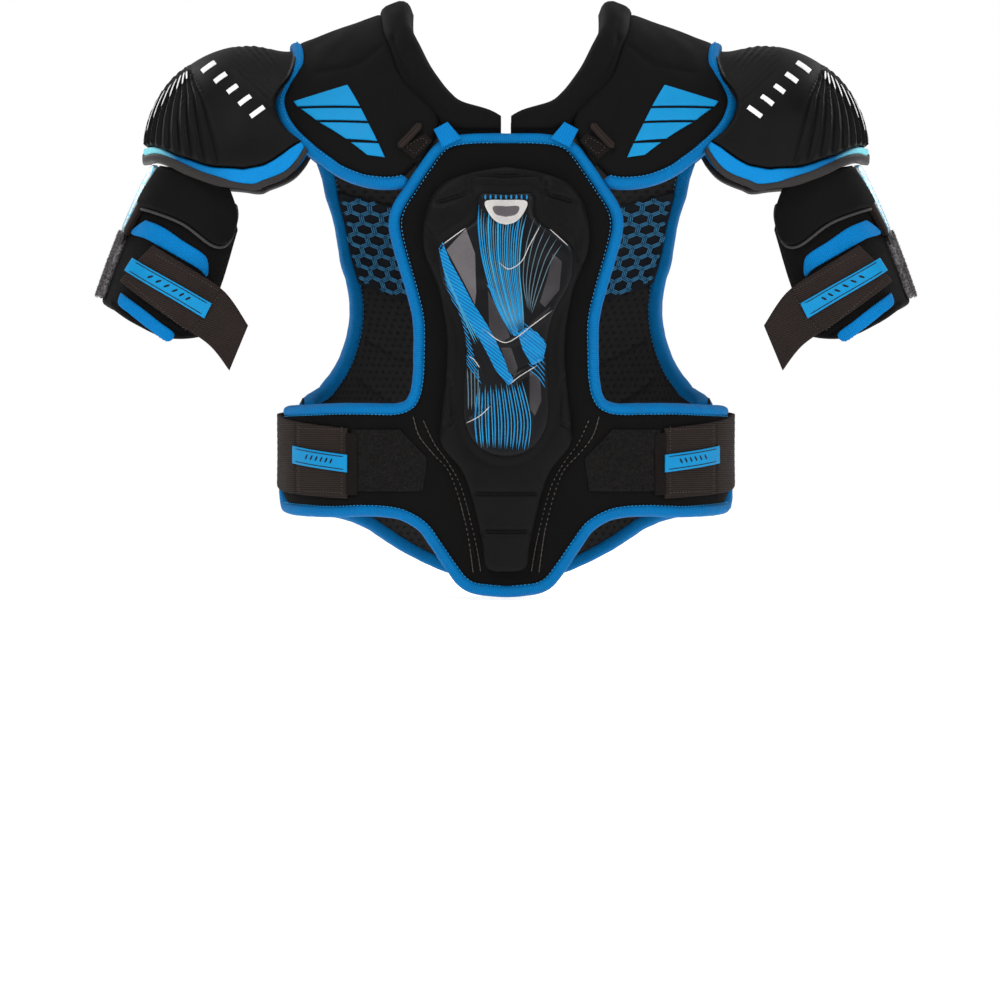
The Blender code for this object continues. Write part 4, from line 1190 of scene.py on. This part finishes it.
pair("yoke_tape_stitches", total([stitches(SHOULDER, yoke_stitch_path * (1.0, way), 1.7, 2.2, 1.0, 0.4)
                                  for way in (1.0, -1.0)]), BLUE_THREAD, "harness")
facets = [[(169, 390), (166, 386), (116, 386), (126, 403)], [(163, 384), (151, 375), (110, 374), (115, 384)],
          [(148, 373), (127, 360), (102, 358), (109, 372)], [(123, 357), (110, 347), (96, 345), (101, 356)]]
facet_shells = []
for facet in facets:
    facet_shells.append(plate(SHOULDER, cut_out(on_shoulder, facet, 2.0), 0.4, 2.2, 3.0, 1.0, 0.6, 0.0))
pair("yoke_facets", total(facet_shells), BRIGHT, "harness", ["yoke_plate"])

# Collar -----------------------------------------------------------------------------------------------
neck = [(4, 379), (13, 384), (35, 391), (45, 399), (53, 409), (61, 421), (68, 435), (75, 449), (78, 460)]
seam = [(99, 449), (93, 433), (86, 412), (77, 400), (65, 388), (55, 378), (48, 370), (30, 368), (4, 368)]
neck_run = curve([on_shoulder(*p) for p in neck] + [(-78.0, 0.0)])
seam_run = curve([(-102.0, 0.0)] + [on_shoulder(*p) for p in seam])
split = laid(on_shoulder, [(4, 368), (4, 379)])
collar_half = join(neck_run[::-1], split[::-1], seam_run[::-1])
collar_lines = []
for facing in (-1.0, 1.0):
    collar_lines.append((curve([on_shoulder(*p, facing) for p in [(90, 440), (86, 428), (80, 412), (72, 400),
                                                                  (60, 388), (46, 379), (30, 376), (12, 374)]]),
                         1.5, 2.2))
collar = plate(SHOULDER, front_to_back(collar_half), -16.0, 4.0, 3.6, 8.0, 7.5, 5.0, collar_lines,
               rise=lumps(20.0, 0.25, 6.0))
pair("collar_pad", puffed(collar, most=1.2), MATT, "harness", ["collar"])

# Webbing link on the yoke: patch, folded loop and tab
link_outline = cut_out(on_shoulder, [(64, 364), (84, 352), (73, 343), (58, 358)], 2.0)
link = plate(SHOULDER, link_outline, 1.0, 3.0, 2.5, 1.0, 0.6, 0.0)
pair("chest_link_patch", link, WEB_EDGE, "harness", ["chest_link"])
loop_path = laid(on_shoulder, [(67, 371), (76, 361), (85, 352)], 1.5)
pair("chest_link_loop", tube(SHOULDER, loop_path, 4.2, 3.2, 1.6, 12, square=0.7), WEBBING, "harness")
box = np.array([on_shoulder(*p) for p in [(66, 360), (79, 353), (72, 347), (62, 357), (66, 360)]])
pair("chest_link_stitches", total([stitches(SHOULDER, np.array([a, b]), 3.1, 1.6, 0.9, 0.28) for a,
                                   b in zip(box, box[1:])]), PALE_THREAD, "harness")
tab_outline = cut_out(on_shoulder, [(46, 372), (57, 366), (50, 352), (35, 359)], 2.0)
pair("collar_tab", plate(SHOULDER, tab_outline, 4.2, 6.0, 2.0, 1.4, 0.8, 0.0), BLUE_CLOTH, "front_panel")

# Torso straps ------------------------------------------------------------------------------------------
strap_top = [at_side(-89.5, 154), at_side(-87, 147), at_side(-75, 139), on_torso(-125, 130)]
strap_low = [on_torso(-125, 74), at_side(-75, 80), at_side(-84, 86), at_side(-89.5, 87)]
strap_outline = join(curve(strap_top), curve([strap_top[-1], strap_low[0]]), curve(strap_low),
                     curve([strap_low[-1], strap_top[0]]))
fold_line = laid(on_torso, [(-165, 135), (-165, 79)], 2.0)
strap = plate(TORSO_STRAP, strap_outline, 1.0, 4.0, 3.0, 1.4, 1.0, 0.3, [(fold_line, 1.0, 1.0)],
              rise=lumps(34.0, 0.25, 3.0))
pair("torso_strap_webbing", strap, WEBBING, "side_strap_{}", ["torso_strap"])
strap_stitches = [stitches(TORSO_STRAP, laid(on_torso, [(x, 132), (x, 77)], 2.0), 4.05, 1.8, 1.0, 0.3)
                  for x in (-162.0, -128.5)]
strap_stitches += [stitches(TORSO_STRAP, laid(on_torso, [(-162, z), (-128, z - 1)], 2.0), 4.05, 1.8, 1.0, 0.3)
                   for z in (130.0, 80.0)]
pair("torso_strap_stitches", total(strap_stitches), PALE_THREAD, "side_strap_{}")
hook = cut_out(on_torso, [(-130, 127), (-117, 126), (-117, 77), (-130, 77)], 2.5)
pair("torso_strap_hook_end", plate(FRONT, hook, 2.2, 3.8, 3.0, 1.0, 0.7, 0.0), WEB_EDGE, "side_strap_{}")
tag = [(-166, 116), (-124, 109), (-124, 95), (-166, 102)]
tag_outline = cut_out(on_torso, tag, 2.0)
pair("torso_tag_label", plate(FRONT, tag_outline, 4.6, 6.0, 2.5, 0.8, 0.4, 0.0), BRIGHT, "side_strap_{}",
     ["torso_tag"])


def tag_marks(form, place, corner_list, lift):
    """A plain border and a row of slanted bars, in place of any lettering."""
    p = [np.array(c, float) for c in corner_list]

    def at(s, t):
        low = p[3] + (p[2] - p[3]) * s
        high = p[0] + (p[1] - p[0]) * s
        return place(*(low + (high - low) * t))
    marks = [tube(form, curve([at(0.05, t), at(0.95, t)], 2.0), lift, 0.4, 0.18, 6) for t in (0.14, 0.86)]
    for k in range(6):
        s = 0.24 + 0.09 * k
        marks.append(tube(form, curve([at(s, 0.34), at(s + 0.045, 0.66)], 1.2), lift, 0.9, 0.2, 6))
    return total(marks)


pair("torso_tag_marks", tag_marks(FRONT, on_torso, tag, 6.05), INK, "side_strap_{}")
patch_points = [(-122, 129), (-84, 129), (-62, 106), (-66, 80), (-122, 80)]
patch_outline = cut_out(on_torso, patch_points, 2.5)
loop_base = plate(FRONT, patch_outline, 1.0, 2.2, 2.2, 1.0, 0.5, 0.0,
                  rise=lambda uv: 0.35 * RANDOM.random(len(uv)))
loop_fibres = fuzz(FRONT, scattered(patch_outline, 3200), 2.0, 1.7, 0.2, 1.1)
pair("torso_loop_patch", loop_base + loop_fibres, LOOP, "front_panel", ["torso_loop"])

# Shoulder caps ------------------------------------------------------------------------------------------
cap_edge = [(168, 430), (172, 415), (180, 403), (184, 392), (182, 381), (175, 369), (163, 359)]
band_top = [(163, 359), (170, 355), (178, 349), (187, 343), (197, 339), (213, 337), (237, 339), (261, 347),
            (277, 354)]
band_low = [(160, 353), (166, 343), (176, 333), (193, 326), (205, 323), (221, 326), (245, 334), (269, 345)]
rim_low = [(158, 350), (164, 340), (174, 330), (191, 322.5), (205, 319.5), (229, 322.5), (253, 331), (273, 341)]
TIP = math.pi / 2.0 * CAP_RISE
edge_run = curve([(-CAP_CENTRE[0] - 170.0, 0.0)] + [on_cap(*p) for p in cap_edge])
shell_low = curve([on_cap(*p) for p in band_top] + [(-TIP + 8.5, -28.0), (-TIP + 6.0, 0.0)])
# Shingled ridges: how many, and where the first one stands (out, height)
RIDGES = 10.0
FIRST_RIDGE = ((222.0, 330.0), (222.0, 342.0), (232.0, 371.0), (240.0, 395.0), (250.0, 413.0), (256.0, 424.0))


def cap_outline_at(height):
    rise = np.clip((height - CAP_CENTRE[2]) / CAP_RISE, -0.999, 0.999)
    return -CAP_CENTRE[0] + CAP_REACH * np.sqrt(1.0 - rise * rise)


def ridge_out(count, height):
    """How far out a ridge stands at a height."""
    first = np.interp(height, [p[1] for p in FIRST_RIDGE], [p[0] for p in FIRST_RIDGE])
    edge = np.maximum(first + 4.0, cap_outline_at(height))
    return first + (edge - first) * np.sin(np.clip(count / RIDGES, 0.0, 1.0) * math.pi / 2.0)


def overlapping(phase):
    """Shingled edges: each rises slowly and drops at once."""
    saw = phase % 1.0
    return np.where(saw < 0.84, saw / 0.84, (1.0 - saw) / 0.16)


def cap_rise(uv):
    """Shingled ridges over the outer side of the cap, and finer ones where it meets the yoke."""
    place = CAP.at(uv)[0]
    out = -place[:, 0]
    height = place[:, 2]
    first = np.interp(height, [p[1] for p in FIRST_RIDGE], [p[0] for p in FIRST_RIDGE])
    edge = np.maximum(first + 4.0, cap_outline_at(height))
    phase = RIDGES * np.arcsin(np.clip((out - first) / (edge - first), 0.0, 1.0)) / (math.pi / 2.0)
    outer = 3.4 * (0.55 - overlapping(phase)) * smoothstep(-0.02, 0.25, phase) * smoothstep(428.0, 414.0, height)
    slant = 0.68 * (214.0 - out) + 0.73 * (height - 437.0)
    inner = -1.1 * overlapping((slant + 24.0) / 4.6) * smoothstep(-2.0, 3.0, slant + 20.0) * smoothstep(20.0, 12.0,
                                                                                                        slant)
    dip = -5.0 * smoothstep(205.0, 176.0, out) * smoothstep(395.0, 420.0, height)
    return outer * smoothstep(0.0, 14.0, out - 219.0) + inner * smoothstep(222.0, 212.0, out) + dip


cap_shell = plate(CAP, front_to_back(join(edge_run, shell_low)), -8.0, -0.4, 1.9, 3.0, 2.5, 1.0, rise=cap_rise)
pair("cap_moulded_shell", cap_shell, MOULD, "cap_{}", ["cap_shell"])


def cap_line(points, wide, lift=0.35):
    path = laid(on_cap, points, 1.5)
    share = np.linspace(0.0, 1.0, len(path))
    taper = np.clip(np.minimum(share, 1.0 - share) * 6.0, 0.25, 1.0)
    return tube(CAP, path, -0.4 + cap_rise(path) + lift, wide * taper, 0.28, 6)


# White strips just past each ridge crest on the cap's outer side: painted highlights where the ridges catch the
# light.
ridge_highlights = []
for count, high, low in ((2, 415, 408), (3, 414, 404), (4, 412, 400), (5, 409, 394), (6, 405, 387), (7, 400, 378),
                         (8, 393, 368), (9, 384, 359)):
    points = [(float(ridge_out(count + 0.06, z)), z) for z in np.linspace(high, low, 6)]
    ridge_highlights.append(cap_line(points, 0.85))
pair("cap_pin_stripes", total(ridge_highlights), WHITE_PRINT_AND_HIGHLIGHT, "cap_{}")
bars = []
for k in range(5):
    middle = np.array((238.0, 419.0)) + np.array((-40.0, -37.0)) * k / 4.0
    stroke = np.array((4.6, -3.4)) * (1.15, 1.0, 0.85, 1.0, 1.15)[k]
    wide = np.array((-1.15, -1.5))
    bars.append(plate(CAP, corners([on_cap(*p) for p in (middle - stroke - wide, middle + stroke - wide, middle
                                                         + stroke + wide, middle - stroke + wide)], 1.2), -1.2,
                      0.35, 2.0, 0.5, 0.2, 0.0))
pair("cap_bars", total(bars), WHITE_PRINT_AND_HIGHLIGHT, "cap_{}")
# Where the band's top, its lower edge and the rim's turn round the cap's outer end
LIP = ((-131.0, -28.0), (-134.5, -38.0), (-140.5, -38.0))
foam_edge = curve([(-CAP_CENTRE[0] - 181.0, 0.0)] + [on_cap(x + 2.0, z) for x, z in cap_edge]
                  + [on_cap(168, 350), on_cap(171, 337)])
foam_low = curve([on_cap(171, 337), on_cap(189, 327), on_cap(205, 321), on_cap(229, 327), on_cap(250, 338),
                  on_cap(270, 348), (-TIP + 4.0, 0.0)])
foam_lines = [(laid(on_cap, [(200, 420), (200, 330)]), 1.8, 2.0)]
cap_foam = plate(CAP, front_to_back(join(foam_edge, foam_low)), -20.0, -10.0, 4.5, 2.5, 1.5, 3.0,
                 under_lines=foam_lines)
pair("cap_foam_liner", puffed(cap_foam, most=0.4), FINE_LINING, "cap_{}", ["cap_foam"])
band_ring = strip(curve([on_cap(x, z - 1.3) for x, z in band_top] + [LIP[0], (-TIP + 4.5, 0.0)]),
                  curve([on_cap(x, z + 1.0) for x, z in band_low] + [LIP[1], (-TIP - 1.0, 0.0)]))
pair("cap_band_cloth", plate(CAP, band_ring, -7.0, 0.5, 2.2, 2.0, 1.4, 1.0, rise=lumps(18.0, 0.15)), BAND, "cap_{}",
     ["cap_band"])
rim_ring = strip(curve([on_cap(x, z + 1.6) for x, z in band_low] + [(-TIP + 4.0, -38.0), (-TIP + 0.8, 0.0)]),
                 curve([on_cap(*p) for p in rim_low] + [LIP[2], (-TIP - 9.0, 0.0)]))
pair("cap_rim_rubber", plate(CAP, rim_ring, -7.0, 1.5, 2.0, 2.4, 1.8, 1.2), RUBBER, "cap_{}",
     ["cap_rim"])

# Upper arm guards ----------------------------------------------------------------------------------------
guard_outline = join(laid(around_arm, [(-100, 70), (-100, 4)]),
                     laid(around_arm, [(-100, 4), (-40, 12), (0, 8), (30, -17), (60, -26), (90, -24), (146, -26)]),
                     laid(around_arm, [(146, -26), (152, 20), (150, 68)]),
                     laid(around_arm, [(150, 68), (110, 78), (70, 76), (20, 70), (-40, 72), (-100, 70)]))
guard_lines = [(laid(around_arm, [(18, 14), (16, 40), (20, 64)]), 1.6, 1.8),
               (laid(around_arm, [(40, 66), (80, 70), (120, 70)]), 1.6, 1.6),
               (laid(around_arm, [(-55, 16), (-55, 66)]), 1.8, 1.8)]
guard = plate(ARM, guard_outline, -11.0, 0.0, 4.2, 4.5, 3.8, 3.0, guard_lines, rise=lumps(22.0, 0.3, 8.0))
pair("arm_guard_pad", puffed(guard, most=0.7), KNIT, "arm_{}", ["arm_guard"])
flap_outline = join(laid(around_arm, [(44, -50), (88, -55), (113, -52)]),
                    laid(around_arm, [(113, -52), (129, -33), (131, -13), (116, -6), (85, -14), (55, -15),
                                      (38, -14), (33, -20), (44, -50)]))
flap = plate(ARM, flap_outline, 1.0, 8.6, 3.4, 4.0, 3.8, 0.8, rise=lumps(20.0, 0.25, 1.0))
pair("arm_flap_pad", puffed(flap, most=0.8, voxel=4.0), MATT, "arm_{}", ["arm_flap"])
piping_path = laid(around_arm, [(124, -42), (131, -31), (132, -11), (117, -4), (85, -12), (55, -13), (37, -12)],
                   2.0)
pair("arm_flap_piping", tube(ARM, piping_path, 4.6, 1.3, 1.3, 8), PIPING, "arm_{}")
upper_panel = [(287, 296), (273, 290), (257, 279), (241, 269), (236, 262), (236, 250), (245, 257), (273, 273),
               (287, 281), (299, 286), (287, 296)]
upper_outline = join(laid(on_arm, upper_panel, 2.0))
pair("arm_panel_upper_cloth", plate(ARM, upper_outline, 0.4, 2.6, 2.4, 1.6, 1.2, 0.0, rise=lumps(14.0, 0.15)),
     BLUE_CLOTH, "arm_{}", ["arm_panel_upper"])
lower_panel = [(307, 238), (292, 227), (277, 215), (264, 205), (270, 199), (285, 209), (300, 221), (309, 229),
               (307, 238)]
lower_outline = join(laid(on_arm, lower_panel, 2.0))
pair("arm_panel_lower_cloth", plate(ARM, lower_outline, 0.4, 2.6, 2.4, 1.6, 1.2, 0.0), BLUE_CLOTH, "arm_{}",
     ["arm_panel_lower"])
panel_edges = [stitches(ARM, np.vstack([o, o[:1]]), 0.5, 2.0, 1.2, 0.35) for o in (upper_outline, lower_outline)]
pair("arm_panel_stitches", total(panel_edges), THREAD, "arm_{}")
edge_path = laid(around_arm, [(14, 10), (9, 28), (8, 48), (12, 66)], 2.5)
fleece_tube = tube(ARM, edge_path, 1.6, 9.5, 4.6, 16)
across_edge = RANDOM.uniform(-8.0, 8.0, 2600)
at_edge = RANDOM.uniform(0.0, len(edge_path) - 1.0, 2600)
index = at_edge.astype(int).clip(0, len(edge_path) - 2)
share = (at_edge - index)[:, None]
fleece_places = edge_path[index] * (1 - share) + edge_path[index + 1] * share + np.stack(
    [across_edge, 0.0 * across_edge], -1)
fleece_lift = 1.6 + 4.4 * np.sqrt(np.maximum(0.0, 1.0 - (across_edge / 9.5) ** 2))
pair("arm_fleece_edge", fleece_tube + fuzz(ARM, fleece_places, fleece_lift, 2.0, 0.22, 1.0), FLEECE, "arm_{}",
     ["arm_edge"])

# Arm straps
tail_top = [on_arm(*p) for p in [(279, 275), (253, 258), (225, 239), (206, 212)]]
tail_low = [on_arm(*p) for p in [(221, 176), (238, 197), (268, 217), (304, 246)]]
tail = join(curve(tail_top), curve([tail_top[-1], tail_low[0]]), curve(tail_low),
            curve([tail_low[-1], tail_top[0]]))
fold = laid(on_arm, [(226, 243), (252, 206)], 2.0)
arm_web = plate(ARM_STRAP, tail, 5.0, 7.5, 2.6, 1.2, 0.9, 0.3, [(fold, 0.9, 0.9)], rise=lumps(28.0, 0.25, 5.0))
pair("arm_strap_webbing", arm_web, WEBBING, "arm_strap_{}", ["arm_strap"])
arm_stitch = [stitches(ARM_STRAP, laid(on_arm, [a, b], 2.0), 7.55, 1.8, 1.0, 0.28) for a,
              b in (((277, 268), (230, 240)), ((297, 246), (256, 208)), ((229, 238), (252, 206)))]
pair("arm_strap_stitches", total(arm_stitch), PALE_THREAD, "arm_strap_{}")
arm_tag = [(293, 264), (236, 230), (242, 218), (299, 254)]
arm_tag_outline = cut_out(on_arm, arm_tag, 2.0)
pair("arm_tag_label", plate(ARM_STRAP, arm_tag_outline, 7.9, 9.4, 2.5, 0.8, 0.4, 0.0), BRIGHT, "arm_strap_{}",
     ["arm_tag"])
pair("arm_tag_marks", tag_marks(ARM_STRAP, on_arm, arm_tag, 9.45), INK, "arm_strap_{}")

# Elastic link from the cap to the guard
link_path = laid(around_arm, [(37, -49), (28, -25), (19, 0), (15, 12)], 2.0)
ends = ARM.at(link_path[[0, -1]], 2.4)[0]
pair("cap_link_film", tube(ARM, link_path + (-1.0, 0.0), 2.6, 7.0, 3.0, 12, square=0.6), FILM, "arm_{}",
     ["cap_link"], cross=("cap_{}", "arm_{}", ends[0], ends[1]))
web_path = link_path + (8.5, 0.0)
pair("cap_link_webbing", tube(ARM, web_path, 2.8, 4.0, 3.0, 10, square=0.6), WEBBING, "arm_{}",
     cross=("cap_{}", "arm_{}", ends[0], ends[1]))
pair("cap_link_buckle", tube(ARM, laid(around_arm, [(18, 9), (15, 22)], 1.5), 3.0, 5.2, 1.6, 12, square=0.5),
     BUCKLE, "arm_{}")


# --- stage, light, camera ---------------------------------------------------------------------------------

FLOOR_GAP = 0.003
FLOOR_RADII = (3.0, 6.0)
FLOOR_GLOW = 0.74
WORLD_LIGHT = 0.46
LIGHT_AIM = (0.0, 0.0, 0.3)
FRONT_LIGHT_AIM = (0.0, 0.0, 0.25)
LENS_MM = 358.0
SENSOR_MM = 36.0
CAMERA_AT = (-0.0048, -8.0, 0.16)
CAMERA_AIM = (-0.0048, 0.0, 0.072)


def stage_material(name, tone):
    made = bpy.data.materials.new(name)
    made.use_nodes = True
    shader = made.node_tree.nodes["Principled BSDF"]
    shader.inputs["Base Color"].default_value = (tone, tone, tone, 1.0)
    shader.inputs["Roughness"].default_value = 0.95
    shader.inputs["Specular IOR Level"].default_value = 0.05
    shader.inputs["Emission Color"].default_value = (1.0, 1.0, 1.0, 1.0)
    shader.inputs["Emission Strength"].default_value = FLOOR_GLOW
    return made


def backdrop():
    """A pale round floor, wide enough to be the whole background from any side."""
    data = bpy.data.meshes.new("floor")
    low = cad_box[0][2] - FLOOR_GAP
    sides = 48
    turns = [2.0 * math.pi * k / sides for k in range(sides)]
    points = [(radius * math.cos(turn), radius * math.sin(turn), low) for radius in FLOOR_RADII for turn in turns]
    faces = [tuple(range(sides))]
    for k in range(sides):
        n = (k + 1) % sides
        faces.append((k, sides + k, sides + n, n))
    data.from_pydata(points, [], faces)
    data.materials.append(stage_material("pale_floor", 0.9))
    obj = bpy.data.objects.new("floor", data)
    bpy.context.scene.collection.objects.link(obj)


def softbox(name, place, aim, size, power):
    data = bpy.data.lights.new(name, "AREA")
    data.shape = "RECTANGLE"
    data.size, data.size_y = size
    data.energy = power
    obj = bpy.data.objects.new(name, data)
    obj.location = place
    obj.rotation_euler = (Vector(aim) - Vector(place)).to_track_quat("-Z", "Y").to_euler()
    bpy.context.scene.collection.objects.link(obj)


backdrop()
softbox("key", (-1.1, -2.2, 1.9), FRONT_LIGHT_AIM, (1.2, 1.2), 31.0)
softbox("fill", (1.5, -2.0, 1.2), FRONT_LIGHT_AIM, (1.2, 1.2), 17.0)
softbox("rim_left", (-1.6, 1.4, 1.4), LIGHT_AIM, (1.0, 1.4), 20.0)
softbox("rim_right", (1.6, 1.4, 1.4), LIGHT_AIM, (1.0, 1.4), 20.0)
softbox("top", (0.0, -0.3, 2.4), LIGHT_AIM, (1.6, 1.6), 16.0)


def studio_world():
    """White behind everything, and half as bright where it lights the object."""
    world = bpy.data.worlds.new("studio")
    world.use_nodes = True
    tree = world.node_tree
    soft = tree.nodes["Background"]
    soft.inputs[0].default_value = (1.0, 1.0, 1.0, 1.0)
    soft.inputs[1].default_value = WORLD_LIGHT
    white = tree.nodes.new("ShaderNodeBackground")
    white.inputs[0].default_value = (1.0, 1.0, 1.0, 1.0)
    white.inputs[1].default_value = 1.0
    seen = tree.nodes.new("ShaderNodeLightPath")
    either = tree.nodes.new("ShaderNodeMixShader")
    tree.links.new(seen.outputs["Is Camera Ray"], either.inputs[0])
    tree.links.new(soft.outputs[0], either.inputs[1])
    tree.links.new(white.outputs[0], either.inputs[2])
    tree.links.new(either.outputs[0], tree.nodes["World Output"].inputs[0])
    bpy.context.scene.world = world


studio_world()
bpy.context.scene.view_settings.view_transform = "Standard"

camera_data = bpy.data.cameras.new("camera")
camera_data.lens = LENS_MM
camera_data.sensor_width = SENSOR_MM
camera = bpy.data.objects.new("camera", camera_data)
camera.location = CAMERA_AT
camera.rotation_euler = (Vector(CAMERA_AIM) - camera.location).to_track_quat("-Z", "Y").to_euler()
bpy.context.scene.collection.objects.link(camera)
bpy.context.scene.camera = camera
